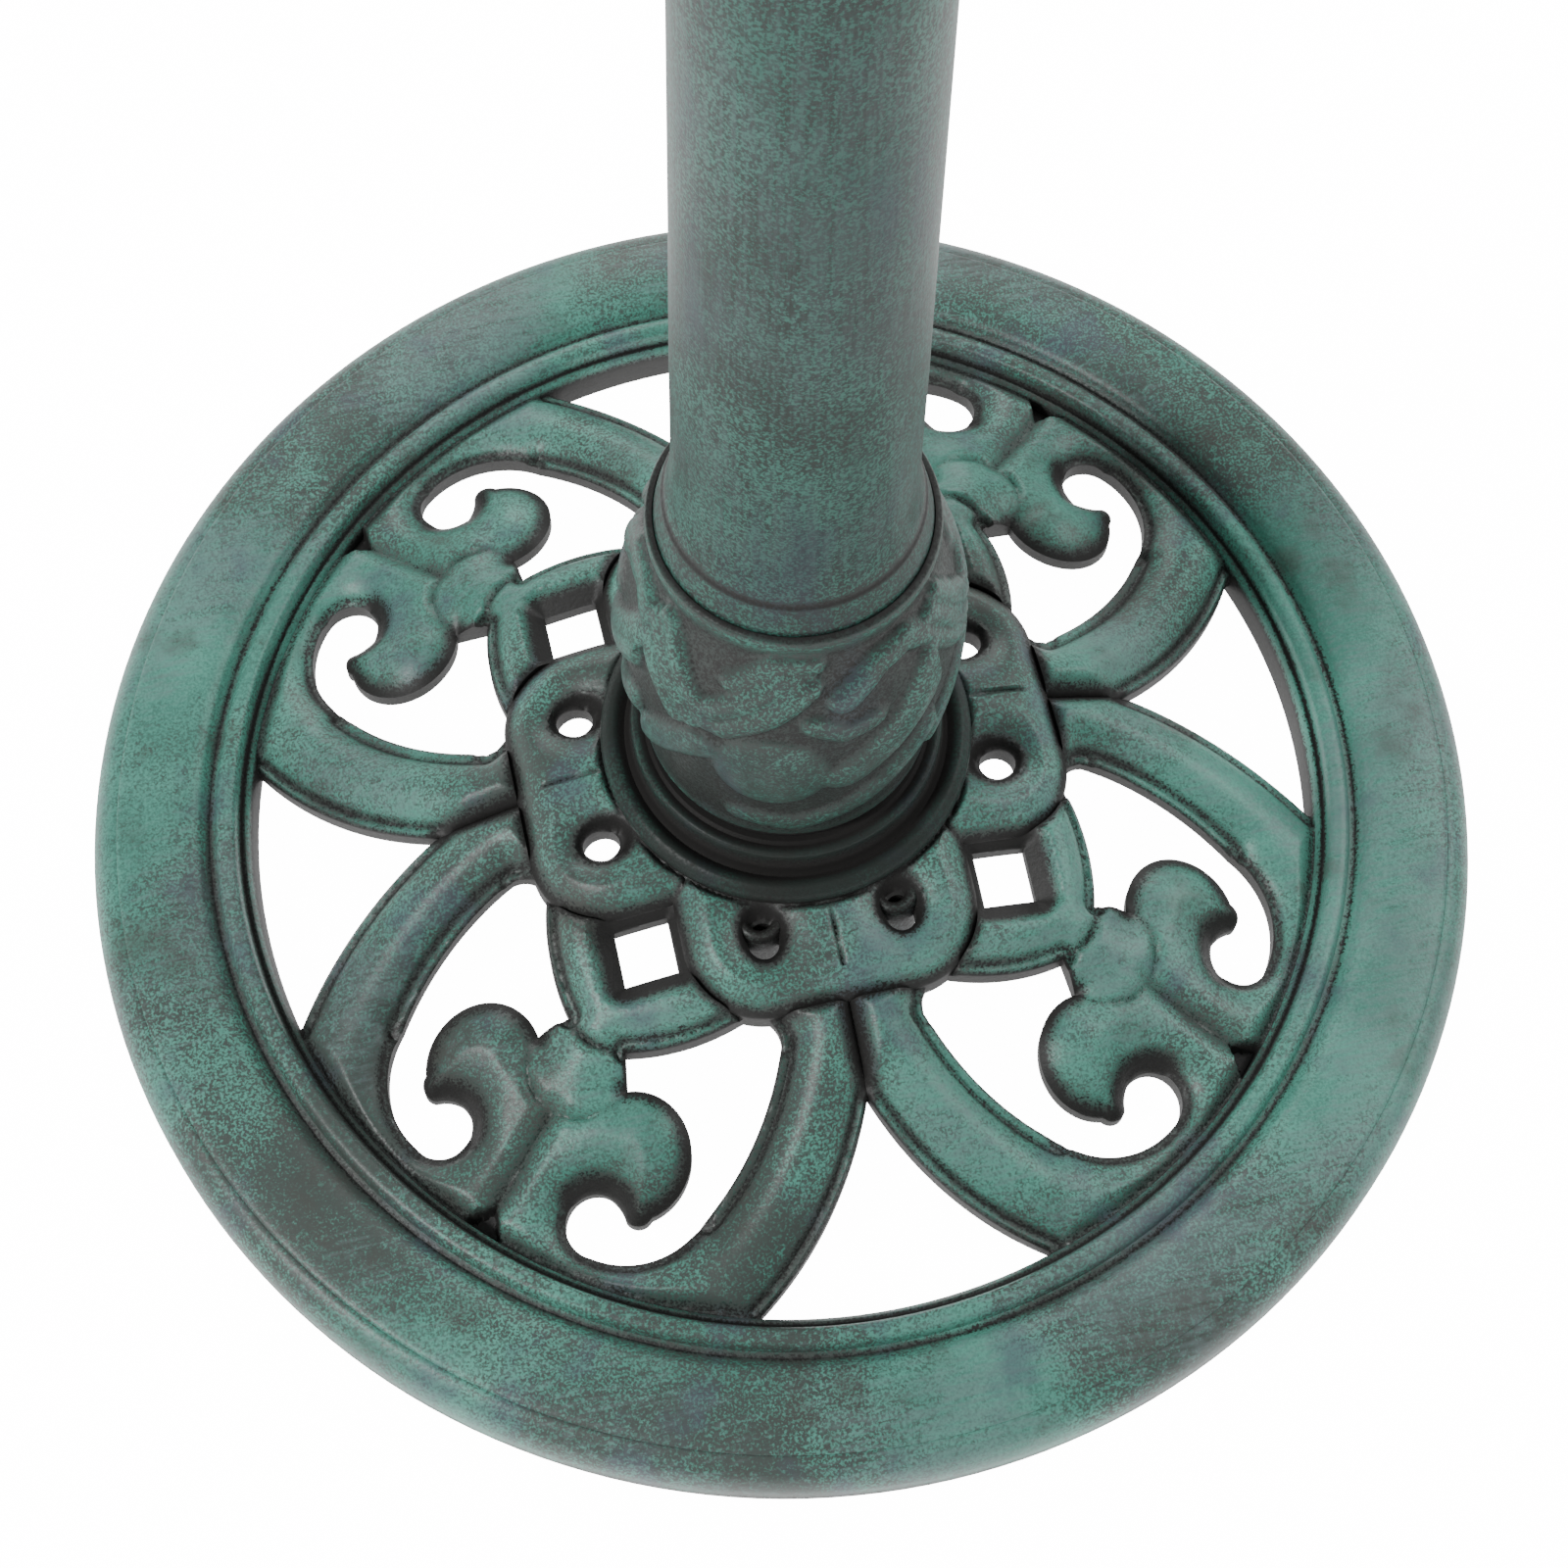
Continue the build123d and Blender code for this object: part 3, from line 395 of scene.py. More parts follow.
def turned(name, profile, slot, hollows=(), shape=None, crease=38.0, base_ground_and_shade=0.0):
    """Turned piece from a closed profile of (r, z).

    hollows are dark spots of the profile, as (r, z, reach, depth): partly dark ground, partly painted shade.
    shape(angle, r, z) returns a change of radius and added dark ground and painted shade for each point."""
    turns = bpy.context.scene.fountain_relief.turns
    profile = np.array(profile)
    count = len(profile)
    angle = np.arange(turns) * (2 * math.pi / turns)
    r = np.tile(profile[:, 0], (turns, 1))
    z = np.tile(profile[:, 1], (turns, 1))
    a = np.tile(angle[:, None], (1, count))
    # Even dark ground and painted shade over the whole piece, then the dark spots
    hollow = np.full_like(r, base_ground_and_shade)
    for hr, hz, reach, depth in hollows:
        hollow = np.maximum(hollow, depth * np.exp(-((r - hr) ** 2 + (z - hz) ** 2) / reach ** 2))
    if shape is not None:
        change, added = shape(a, r, z)
        r = r + change
        hollow = hollow + added
    points = np.stack([r * np.cos(a), r * np.sin(a), z], -1).reshape(-1, 3)
    faces = []
    for i in range(turns):
        here, there = i * count, (i + 1) % turns * count
        for j in range(count):
            k = (j + 1) % count
            faces.append((here + j, there + j, there + k, here + k))
    if loop_area(profile) < 0:
        faces = [face[::-1] for face in faces]
    return mesh_object(name, points, faces, np.clip(hollow, 0, 1.6).ravel(), slot, crease)


# ---------------------------------------------------------------- plan of the scroll work

def arc(a, b, c, step=1.0):
    """Points of the arc from a through b to c."""
    a, b, c = (np.array(p, float) for p in (a, b, c))
    m = 2 * np.array([b - a, c - a])
    centre = np.linalg.solve(m, [b @ b - a @ a, c @ c - a @ a])
    radius = np.linalg.norm(a - centre)
    start, middle, end = (math.atan2(*(p - centre)[::-1]) for p in (a, b, c))
    full = 2 * math.pi
    sweep = (end - start) % full
    if (middle - start) % full > sweep:
        sweep -= full
    count = max(3, int(abs(sweep) * radius / step))
    t = start + sweep * np.linspace(0, 1, count + 1)
    return np.stack([centre[0] + radius * np.cos(t), centre[1] + radius * np.sin(t)], -1)


def straight(a, b, step=1.0):
    count = max(1, int(math.dist(a, b) / step))
    t = np.linspace(0, 1, count + 1)[:, None]
    return np.array(a, float) * (1 - t) + np.array(b, float) * t


def joined(*runs):
    """One run of points from several that follow on."""
    return np.concatenate([run[:-1] for run in runs[:-1]] + [runs[-1]])


def flipped(run):
    """The run mirrored across the panel's axis, in reverse order."""
    return (np.asarray(run) * [1, -1])[::-1]


def spun(run, degrees):
    """The run turned about the middle of the base."""
    t = math.radians(degrees)
    return np.asarray(run) @ np.array([[math.cos(t), math.sin(t)], [-math.sin(t), math.cos(t)]])


# All in the panel's own frame: u along its axis from the hub, v across.
LOOP_SIDE = arc((108.2, 10.2), (95.0, 26.6), (80.2, 36.9))
LOOP_CORNER = arc((80.2, 36.9), (78.0, 42.5), (81.3, 49.6))
ARM_INSIDE = arc((81.3, 49.6), (108.0, 57.2), (135.0, 56.5))
SCROLL_INSIDE = arc((135.0, 56.5), (154.4, 48.4), (163.1, 29.5))
EYE = arc((163.1, 29.5), (153.7, 19.2), (144.4, 27.5))
HOOK_END = arc((144.4, 27.5), (145.2, 31.6), (147.6, 35.5))
BULB_TIP = joined(HOOK_END, arc((147.6, 35.5), (147.2, 39.8), (143.0, 42.0)))
BULB = arc((143.0, 42.0), (114.3, 33.6), (116.8, 16.4))
NECK = straight((116.8, 16.4), (108.2, 10.2))
SQUARE_AT = 80.3              # middle of the square hole in the loop
SQUARE_HALF = 11.95           # half its diagonal
BUD = arc((116.8, 16.4), (134.2, 0.0), (116.8, -16.4))
LOOP_TIP = arc((106.5, 11.5), (112.0, 0.0), (106.5, -11.5))
HOOK = joined(arc((151.5, 19.5), (146.4, 22.8), (144.4, 27.5)), HOOK_END)

# The links of the knot, each in its own frame along u: a round-cornered bar with two wells.
LINK_REACH, LINK_HALF, LINK_ROUND = 86.0, 46.0, 25.0
WELL = (63.4, 21.5)
WELL_SIZE = (5.8, 4.9)
WELL_BEVEL = (12.4, 10.2)
ANCHORS = (21.1, 56.2)        # x and y of the posts, under the wells of the front and back links

# Where two arms meet, halfway between their panels, and the window that opens outside them.
ARMS_PART = 112.7
WINDOW_SIDE = spun(arc((ARMS_PART, 0.0), (141.6, -17.5), (166.8, -45.9)), 45)
ARM_SEAM = spun(straight((LINK_REACH, 0.0), (ARMS_PART, 0.0)), 45)


def link_half():
    """Half the outline of a link in its own frame, from its tip to the corner with its neighbour."""
    u, v = LINK_REACH - LINK_ROUND, LINK_HALF - LINK_ROUND
    diagonal = LINK_ROUND / math.sqrt(2)
    return joined(straight((LINK_REACH, 0.0), (LINK_REACH, v)),
                  arc((LINK_REACH, v), (u + diagonal, v + diagonal), (u, LINK_HALF)),
                  straight((u, LINK_HALF), (LINK_HALF, LINK_HALF)))


def crown(radius):
    """Height of the crown line, a cubic curve from the flange seat out to the rim."""
    span = PANEL - FLANGE
    r0, r1, r2, r3 = FLANGE, FLANGE + 0.33 * span, FLANGE + 0.63 * span, PANEL
    z0, z1, z2, z3 = SEAT, SEAT - 4.5, PANEL_HEIGHT + 8.5, PANEL_HEIGHT
    t = np.linspace(0, 1, 200)
    mix = np.stack([(1 - t) ** 3, 3 * t * (1 - t) ** 2, 3 * t * t * (1 - t), t ** 3])
    return np.interp(radius, np.array([r0, r1, r2, r3]) @ mix, np.array([z0, z1, z2, z3]) @ mix)


def distance(points, run):
    """Distance from each point to a run of points."""
    best = np.full(len(points), 1e9)
    for i in range(0, len(run), 64):
        gap = points[:, None, :] - np.asarray(run)[None, i:i + 64, :]
        best = np.minimum(best, np.sqrt((gap ** 2).sum(-1).min(1)))
    return best


def rounded(d, depth, width):
    """Fall from a crown towards an edge, steep but never upright."""
    return depth * np.clip(1 - d / width, 0, 1) ** 2.1


def ledged(d, ledge, depth, width):
    """Low ledge along an edge, then a round rise. The shade lies in the groove and at the edge."""
    rise = rounded(np.clip(d - ledge, 0, None), depth, width)
    edge = 1.2 * np.clip(1 - d / 1.3, 0, 1) ** 2
    groove = 0.8 * np.exp(-((d - ledge) / 1.0) ** 2)
    shade = (0.58 * np.exp(-((d - ledge - 0.4) / 1.25) ** 2) + 0.55 * np.clip(1 - d / 1.2, 0, 1)
             + 0.30 * np.clip(1 - d / (ledge + width * 0.5), 0, 1))
    return np.where(d < ledge, depth, rise) + edge + groove, shade


def soft_edge(d, depth, width):
    """Edge that rounds straight down, dark only at its foot."""
    return rounded(d, depth, width), 1.2 * np.clip(1 - d / (width * 0.42), 0, 1) ** 1.3


def crease(d, depth, width):
    """Valley along a line."""
    near = np.clip(1 - d / width, 0, 1)
    return depth * near ** 1.6, min(1.2, 0.45 + depth * 0.16) * near ** 1.2


def faint(relief, share):
    """The relief with only a share of its shade."""
    return relief[0], relief[1] * share


def together(*reliefs):
    """Depths joined so that the deepest leads and meeting slopes stay soft, and the darkest shade."""
    depth = sum(np.clip(depth, 0, None) ** 4 for depth, _ in reliefs) ** 0.25
    return depth, np.max([shade for _, shade in reliefs], axis=0)


def square_distance(points):
    """Distance outside the square hole of the loop."""
    upright = spun(points - [SQUARE_AT, 0.0], 45)
    over = np.clip(np.abs(upright) - SQUARE_HALF / math.sqrt(2), 0, None)
    return np.sqrt((over ** 2).sum(1))


def panel_depth(points):
    """Depth below the crown at points of a panel, in its own frame, with its shade: painted shade, partly
    dark ground.
    """
    relief = bpy.context.scene.fountain_relief
    ledge, depth, width = relief.ledge_width / MM, relief.ledge_depth / MM, relief.band_round / MM
    p = points / PATTERN
    p = np.stack([p[:, 0], np.abs(p[:, 1])], -1)
    u, v = p[:, 0], p[:, 1]
    arm = ledged(distance(p, ARM_INSIDE), ledge, depth, width)
    window = ledged(distance(p, WINDOW_SIDE), ledge * 0.8, depth * 0.85, width)
    corner = ledged(distance(p, LOOP_CORNER), ledge * 0.8, depth, width * 0.7)
    loop = ledged(distance(p, LOOP_SIDE), ledge * 0.75, depth * 0.75, 7.0)
    scroll = ledged(distance(p, SCROLL_INSIDE), 1.6, depth * 0.8, width * 1.15)
    eye = ledged(distance(p, EYE), 1.4, depth * 0.8, 12.0)
    bulb = soft_edge(distance(p, joined(BULB_TIP, BULB)), 8.5, 18.0)
    neck = soft_edge(distance(p, NECK), 4.5, 7.0)
    inner = np.clip(1 - square_distance(p) / 8.5, 0, 1)
    square = 9.0 * inner ** 0.9, 1.25 * np.clip(inner * 1.5, 0, 1)
    seam = faint(crease(distance(p, straight((135.0, 0.0), (166.5, 0.0))), 3.8, 7.0), 0.55)
    bud = faint(crease(distance(p, BUD), 2.6, 3.6), 0.62)
    tip = faint(crease(distance(p, LOOP_TIP), 3.4, 3.8), 0.75)
    rim = faint(crease(DRAWN - np.hypot(u, v), 4.4, 5.6), 0.62)
    arms = crease(distance(p, ARM_SEAM), 7.0, 7.5)
    slope = np.clip(1 - distance(p, HOOK) / 8.5, 0, 1)
    hook = 8.5 * slope ** 1.5, 1.25 * np.clip(slope * 1.2 - 0.05, 0, 1)
    corner_pit = np.clip((7.2 - v - 0.8 * np.clip(DRAWN - u, 0, None)) / 2.0, 0, 1) * (u > DRAWN - 8.0)
    pit = 9.0 * corner_pit, 1.5 * corner_pit
    # Valley with painted shade where the panels run under the links
    under = crease(link_distance(spun(p, -45)), 3.0, 4.5)
    return together(arm, window, corner, loop, scroll, eye, bulb, neck, square, seam, bud, tip, rim, arms,
                    hook, pit, under)


def link_distance(points):
    """Distance to the outline of the nearer link, for points in the frame of a link."""
    run = joined(flipped(link_half()), link_half())
    return np.minimum(distance(points, run), distance(points, spun(run, 90)))


def knot_depth(points):
    """Depth below the crown at points of the knot, with its shade: painted shade, partly dark ground."""
    p = np.abs(points) / PATTERN
    p = np.where((p[:, 1] > p[:, 0])[:, None], p[:, ::-1], p)
    x, y = p[:, 0], p[:, 1]
    outline = soft_edge(distance(p, link_half()), 7.0, 12.0)
    around = np.hypot((x - WELL[0] + 1.4) / WELL_BEVEL[0], (y - WELL[1]) / WELL_BEVEL[1])
    bevel = np.clip((1 - around) * 1.9, 0, 1)
    shoulder = 3.2 * np.clip(1.85 - around, 0, 1) ** 2
    # Wells darken down their bevels: painted shade, partly dark ground
    well = np.maximum(8.5 * bevel ** 1.25, shoulder), 1.4 * bevel ** 0.8
    slit = crease(distance(p, straight((60.0, 0.0), (77.0, 0.0))), 2.2, 1.5)
    foot = crease(np.abs(np.hypot(x, y) - FLANGE / PATTERN), 3.0, 3.0)
    meet = crease(np.abs(x - y) / math.sqrt(2), 3.0, 2.6)
    return together(outline, well, slit, foot, meet)


def inside(points, loop):
    """Even-odd test of points against a closed loop."""
    loop = np.asarray(loop)
    x, y = points[:, 0:1], points[:, 1:2]
    x0, y0 = loop[:, 0], loop[:, 1]
    x1, y1 = np.roll(x0, -1), np.roll(y0, -1)
    crosses = (y0 > y) != (y1 > y)
    with np.errstate(divide="ignore", invalid="ignore"):
        at = (x1 - x0) * (y - y0) / (y1 - y0) + x0
    return (crosses & (x < at)).sum(1) % 2 == 1


def offset_rows(loops, distances):
    """Points that follow each loop at set distances inside the material."""
    rows = []
    edge_points = np.concatenate(loops)
    for n, loop in enumerate(loops):
        along = np.roll(loop, -1, 0) - np.roll(loop, 1, 0)
        side = (1 if loop_area(loop) > 0 else -1) * (1 if n == 0 else -1)
        normal = np.stack([-along[:, 1], along[:, 0]], -1) * side
        normal /= np.linalg.norm(normal, axis=1)[:, None]
        for d in distances:
            row = loop + normal * d
            rows.append(row[distance(row, edge_points) > d * 0.97])
    return np.concatenate(rows)


def plan_sheet(loops, step, rows):
    """Triangles over a plan with holes, its points about a step apart and set along the rows."""
    edge_points = np.concatenate(loops)
    low, high = loops[0].min(0), loops[0].max(0)
    grid = []
    for i, y in enumerate(np.arange(low[1], high[1], step * math.sqrt(3) / 2)):
        x = np.arange(low[0] + (i % 2) * step / 2, high[0], step)
        grid.append(np.stack([x, np.full(len(x), y)], -1))
    grid = np.concatenate(grid)

    def within(points):
        keep = inside(points, loops[0])
        for hole in loops[1:]:
            keep &= ~inside(points, hole)
        return keep

    fixed = edge_points
    if rows:
        lines = offset_rows(loops, rows)
        fixed = np.concatenate([edge_points, lines[within(lines)]])
    grid = grid[within(grid)]
    grid = grid[distance(grid, fixed) > step * 0.6]
    edges, start = [], 0
    for loop in loops:
        count = len(loop)
        edges += [(start + i, start + (i + 1) % count) for i in range(count)]
        start += count
    found = delaunay_2d_cdt([Vector(p) for p in np.concatenate([fixed, grid])], edges, [], 0, 1e-5)
    plan = np.array([tuple(p) for p in found[0]])
    triangles = np.array([tuple(f) for f in found[2]])
    triangles = triangles[within(plan[triangles].mean(1))]
    a, b, c = (plan[triangles[:, i]] for i in range(3))
    turn = (b[:, 0] - a[:, 0]) * (c[:, 1] - a[:, 1]) - (b[:, 1] - a[:, 1]) * (c[:, 0] - a[:, 0])
    triangles[turn < 0] = triangles[turn < 0][:, ::-1]
    used = np.unique(triangles)
    renumber = np.full(len(plan), -1)
    renumber[used] = np.arange(len(used))
    return plan[used], renumber[triangles]


def relief_sheet(outline, holes, depth_of, lift, skin, step, rows):
    """Closed moulding over a plan: crown line less the depth on top, a plain underside, upright walls.

    Returns points, faces and the dark ground and painted shade at each point."""
    loops = [np.asarray(outline)] + [np.asarray(h) for h in holes]
    plan, triangles = plan_sheet(loops, step, rows)
    under, under_triangles = plan_sheet(loops, step * 5, ())
    depth, shade = depth_of(plan)
    top = np.column_stack([plan, crown(np.hypot(plan[:, 0], plan[:, 1])) + lift - depth])
    base = np.column_stack([under, np.maximum(crown(np.hypot(under[:, 0], under[:, 1])) - skin, 1.0)])
    count = len(plan)
    faces = [tuple(f) for f in triangles] + [tuple(f[::-1] + count) for f in under_triangles]
    once = {}
    for f in triangles:
        for i in range(3):
            pair = (int(f[i]), int(f[(i + 1) % 3]))
            if pair[::-1] in once:
                del once[pair[::-1]]
            else:
                once[pair] = True
    rim = sorted({i for pair in once for i in pair})
    upper = {i: count + len(under) + n for n, i in enumerate(rim)}
    at = {tuple(np.round(p, 4)): count + n for n, p in enumerate(under)}
    below = {i: at[tuple(np.round(plan[i], 4))] for i in rim}
    wall = top[rim] - [0.0, 0.0, 1.2]
    faces += [(b, a, upper[a], upper[b]) for a, b in once]
    faces += [(upper[b], upper[a], below[a], below[b]) for a, b in once]
    # Underside and upright walls dark all over: dark ground, partly painted shade under the relief and in its
    # openings
    hollow = np.concatenate([shade, np.full(len(under), 1.3), np.full(len(rim), 1.25)])
    return np.concatenate([top, base, wall]), faces, np.clip(hollow, 0, 1.5)


# ---------------------------------------------------------------- base

def ring_profile():
    """Section of the rim: domed band, shoulder line, bead and inner wall, then hollowed out from below."""
    outer, inner = RIM, PANEL
    return smooth_line([
        (outer, 0.0), (outer - 0.2, 6.0), ((outer - 2.2, 13.8), (outer - 8.6, 18.6)),
        (outer - 9.6, 18.5), ((outer - 12.0, 19.9), (outer - 22.0, 20.9)),
        ((outer - 32.0, 20.0), (inner + 15.2, 16.4)), (inner + 13.4, 15.0), (inner + 11.6, 15.5),
        ((inner + 10.4, 18.7), (inner + 7.8, 19.6)), ((inner + 5.2, 18.8), (inner + 4.2, 15.4)),
        (inner + 3.4, 13.5), (inner + 2.2, 14.0), (inner + 1.2, 12.8), (inner + 0.3, 9.0), (inner, 0.0),
        (inner + 5.0, 0.0), (inner + 7.0, 11.5), (outer - 12.0, 14.5), (outer - 5.0, 6.0),
        (outer - 5.0, 0.0)], 1.5)


def make_base_ring():
    outer, inner = RIM, PANEL
    # Dark spots: dark ground in the grooves, partly painted shade, and painted shade at the feet of the outer
    # and inner walls on the floor
    spots = [(outer, 0.0, 3.0, 0.7), (outer - 9.2, 18.4, 1.6, 0.15), (inner + 13.4, 15.0, 1.7, 0.8),
             (inner + 3.6, 13.8, 1.5, 1.1), (inner + 0.4, 8.6, 3.2, 1.2), (inner, 4.0, 4.5, 1.3),
             (inner, 0.0, 8.0, 1.3)]
    ring = turned("rim", ring_profile(), "moulded_verdigris", spots)
    place(ring, "moulded_verdigris", "base_ring")


def panel_outline():
    """Outline of one panel, in its own frame."""
    link = spun(link_half() * [1, -1], 45)[::-1]
    rim = arc(WINDOW_SIDE[-1], (DRAWN, 0.0), WINDOW_SIDE[-1] * [1, -1])
    half = joined(link, ARM_SEAM, WINDOW_SIDE)
    return np.concatenate([half[:-1], rim[:-1], flipped(half)[:-1]])


def panel_holes():
    """The opening between an arm and its scroll, on both sides, and the square in the loop."""
    lyre = joined(LOOP_SIDE, LOOP_CORNER, ARM_INSIDE, SCROLL_INSIDE, EYE, BULB_TIP, BULB, NECK)[:-1]
    corners = [(SQUARE_AT + SQUARE_HALF, 0.0), (SQUARE_AT, SQUARE_HALF),
               (SQUARE_AT - SQUARE_HALF, 0.0), (SQUARE_AT, -SQUARE_HALF)]
    square = joined(*(straight(a, b) for a, b in zip(corners, corners[1:] + corners[:1])))[:-1]
    return [lyre, lyre * [1, -1], square]


def copies_tree():
    """Node tree that sets a copy of the piece at each point of a mesh, turned by the point's "turn"."""
    tree = bpy.data.node_groups.new("copies at points", "GeometryNodeTree")
    for name, kind in (("Geometry", "NodeSocketGeometry"), ("Places", "NodeSocketObject"),
                       ("Finish", "NodeSocketMaterial")):
        tree.interface.new_socket(name, in_out="INPUT", socket_type=kind)
    tree.interface.new_socket("Geometry", in_out="OUTPUT", socket_type="NodeSocketGeometry")
    new, link = tree.nodes.new, tree.links.new
    given, result = new("NodeGroupInput"), new("NodeGroupOutput")
    places = new("GeometryNodeObjectInfo")
    turn = new("GeometryNodeInputNamedAttribute")
    turn.data_type = "FLOAT"
    turn.inputs["Name"].default_value = "turn"
    about, rotation = new("ShaderNodeCombineXYZ"), new("FunctionNodeEulerToRotation")
    copies = new("GeometryNodeInstanceOnPoints")
    real, paint = new("GeometryNodeRealizeInstances"), new("GeometryNodeSetMaterial")
    link(given.outputs["Places"], places.inputs["Object"])
    link(places.outputs["Geometry"], copies.inputs["Points"])
    link(given.outputs["Geometry"], copies.inputs["Instance"])
    link(turn.outputs["Attribute"], about.inputs["Z"])
    link(about.outputs[0], rotation.inputs[0])
    link(rotation.outputs[0], copies.inputs["Rotation"])
    link(copies.outputs[0], real.inputs[0])
    link(real.outputs[0], paint.inputs["Geometry"])
    link(given.outputs["Finish"], paint.inputs["Material"])
    link(paint.outputs[0], result.inputs[0])
    return tree


def repeat(piece, spots, turns, slot):
    """Sets copies of the piece at spots, each turned about Z, and makes them one plain mesh."""
    mesh = bpy.data.meshes.new("places")
    mesh.from_pydata([tuple(spot) for spot in spots], [], [])
    mesh.attributes.new("turn", "FLOAT", "POINT").data.foreach_set("value", turns)
    places = bpy.data.objects.new("places", mesh)
    bpy.context.collection.objects.link(places)
    modifier = piece.modifiers.new("copies", "NODES")
    modifier.node_group = copies_tree()
    set_inputs(modifier, {"Places": places, "Finish": FINISHES[slot]})
    settle(piece)
    bpy.data.objects.remove(places)


def set_inputs(modifier, values):
    for item in modifier.node_group.interface.items_tree:
        if item.in_out == "INPUT" and item.name in values:
            modifier[item.identifier] = values[item.name]


def settle(piece):
    """Applies the piece's node tree, so that it's a plain mesh."""
    bpy.context.view_layer.update()
    graph = bpy.context.evaluated_depsgraph_get()
    mesh = bpy.data.meshes.new_from_object(piece.evaluated_get(graph))
    mesh.name = piece.name
    piece.modifiers.clear()
    old = piece.data
    piece.data = mesh
    bpy.data.meshes.remove(old)


def make_scroll_panels():
    relief = bpy.context.scene.fountain_relief
    skin, step, ledge = relief.skin / MM, relief.step / MM, relief.ledge_width / MM
    into_rim = 2.2
    outline = panel_outline() * PATTERN
    at_rim = np.hypot(outline[:, 0], outline[:, 1]) > PANEL - 0.3
    outline[at_rim] *= (PANEL + into_rim) / PANEL
    holes = [hole * PATTERN for hole in panel_holes()]
    rows = EDGE_ROW, ledge - 0.5, ledge + 0.5, ledge + 1.5
    points, faces, hollow = relief_sheet(outline, holes, panel_depth, 0.0, skin, step, rows)
    panels = mesh_object("scroll_panels", points, faces, hollow, "moulded_verdigris", 42.0)
    repeat(panels, [Vector()] * 4, [math.radians(45 + 90 * i) for i in range(4)], "moulded_verdigris")
    place(panels, "moulded_verdigris", *[f"scroll_panel_{i}" for i in range(1, 5)])


def ellipse(middle, size, count):
    t = np.arange(0, 2 * math.pi, 2 * math.pi / count)
    return np.stack([middle[0] + size[0] * np.cos(t), middle[1] + size[1] * np.sin(t)], -1)


def make_knot():
    relief = bpy.context.scene.fountain_relief
    skin, step = relief.skin / MM, relief.step / MM
    link = joined(flipped(link_half()), link_half())[:-1]
    outline = np.concatenate([spun(link, 90 * i) for i in range(4)]) * PATTERN
    well = ellipse(WELL, WELL_SIZE, 48) * PATTERN
    holes = [spun(side, 90 * i) for i in range(4) for side in (well, well * [1, -1])]
    holes.append(ellipse((0.0, 0.0), (KNOT_BORE, KNOT_BORE), 160))
    points, faces, hollow = relief_sheet(outline, holes, knot_depth, KNOT_LIFT, skin, step, (EDGE_ROW,))
    knot = mesh_object("hub_links", points, faces, hollow, "moulded_verdigris", 42.0)
    place(knot, "moulded_verdigris", "hub_knot")


def make_anchor_posts():
    top, foot = SEAT - 8.0, 1.0
    section = smooth_line([(POST_BORE, top), (POST_BORE + 1.1, top + 2.0),
                           ((POST - 1.4, top + 2.6), (POST, top)), (POST, foot), (POST_BORE, foot)], 1.0)
    # Posts dark all over and darkest at the bore: painted shade under the knot, partly dark ground
    spots = [(POST_BORE, top, 4.0, 1.2)]
    post = turned("anchor_posts", section, "moulded_verdigris", spots, None, 50.0, 0.75)
    x, y = ANCHORS
    places = [Vector((side * x, end * y, 0.0)) * PATTERN * MM for side in (-1, 1) for end in (-1, 1)]
    repeat(post, places, [0.0] * len(places), "moulded_verdigris")
    place(post, "moulded_verdigris", "hub_knot")


# ---------------------------------------------------------------- column

def flange_profile():
    """Section of the flange: round foot, groove, upright step and a flat top."""
    r, low, top = FLANGE, SEAT, FLANGE_TOP
    return smooth_line([
        (r - 0.4, low - 1.0), ((r + 0.2, low + 3.0), (r - 1.6, low + 5.6)),
        ((r - 3.6, low + 6.6), (r - 6.0, low + 5.2)), (r - 7.2, low + 4.2), (r - 8.4, low + 5.6),
        (r - 9.2, low + 9.0), (r - 9.6, top - 2.2),
        ((r - 10.0, top - 0.5), (r - 11.6, top)), (r - 13.4, top - 0.8), (r - 14.4, top + 0.2),
        (r - 20.0, top), (r - 20.0, low)], 0.8)


def make_flange():
    r, low, top = FLANGE, SEAT, FLANGE_TOP
    # Darker all over, in its grooves and at its foot: dark ground, partly painted shade
    spots = [(r, low, 2.4, 1.2), (r - 7.6, low + 4.6, 2.8, 1.3), (r - 9.4, top - 6.0, 2.6, 0.9),
             (r - 13.8, top - 0.5, 2.2, 1.3)]
    flange = turned("flange", flange_profile(), "tube_verdigris", spots, base_ground_and_shade=0.40)
    place(flange, "tube_verdigris", "column_flange")


def collar_profile():
    low, top = FLANGE_TOP, COLLAR_TOP
    return smooth_line([
        (41.2, low), (41.6, low + 4.0), ((43.4, low + 7.0), (44.4, low + 12.0)),
        ((47.4, low + 38.0), (48.6, low + 58.0)), ((47.6, low + 84.0), (42.2, top - 19.0)),
        ((40.2, top - 12.0), (39.4, top - 6.0)), ((39.8, top - 2.0), (39.0, top)),
        (37.6, top + 0.2), (37.2, top - 1.5), (37.2, top - 6.0), (34.0, top - 8.0), (34.0, low)], 1.2)


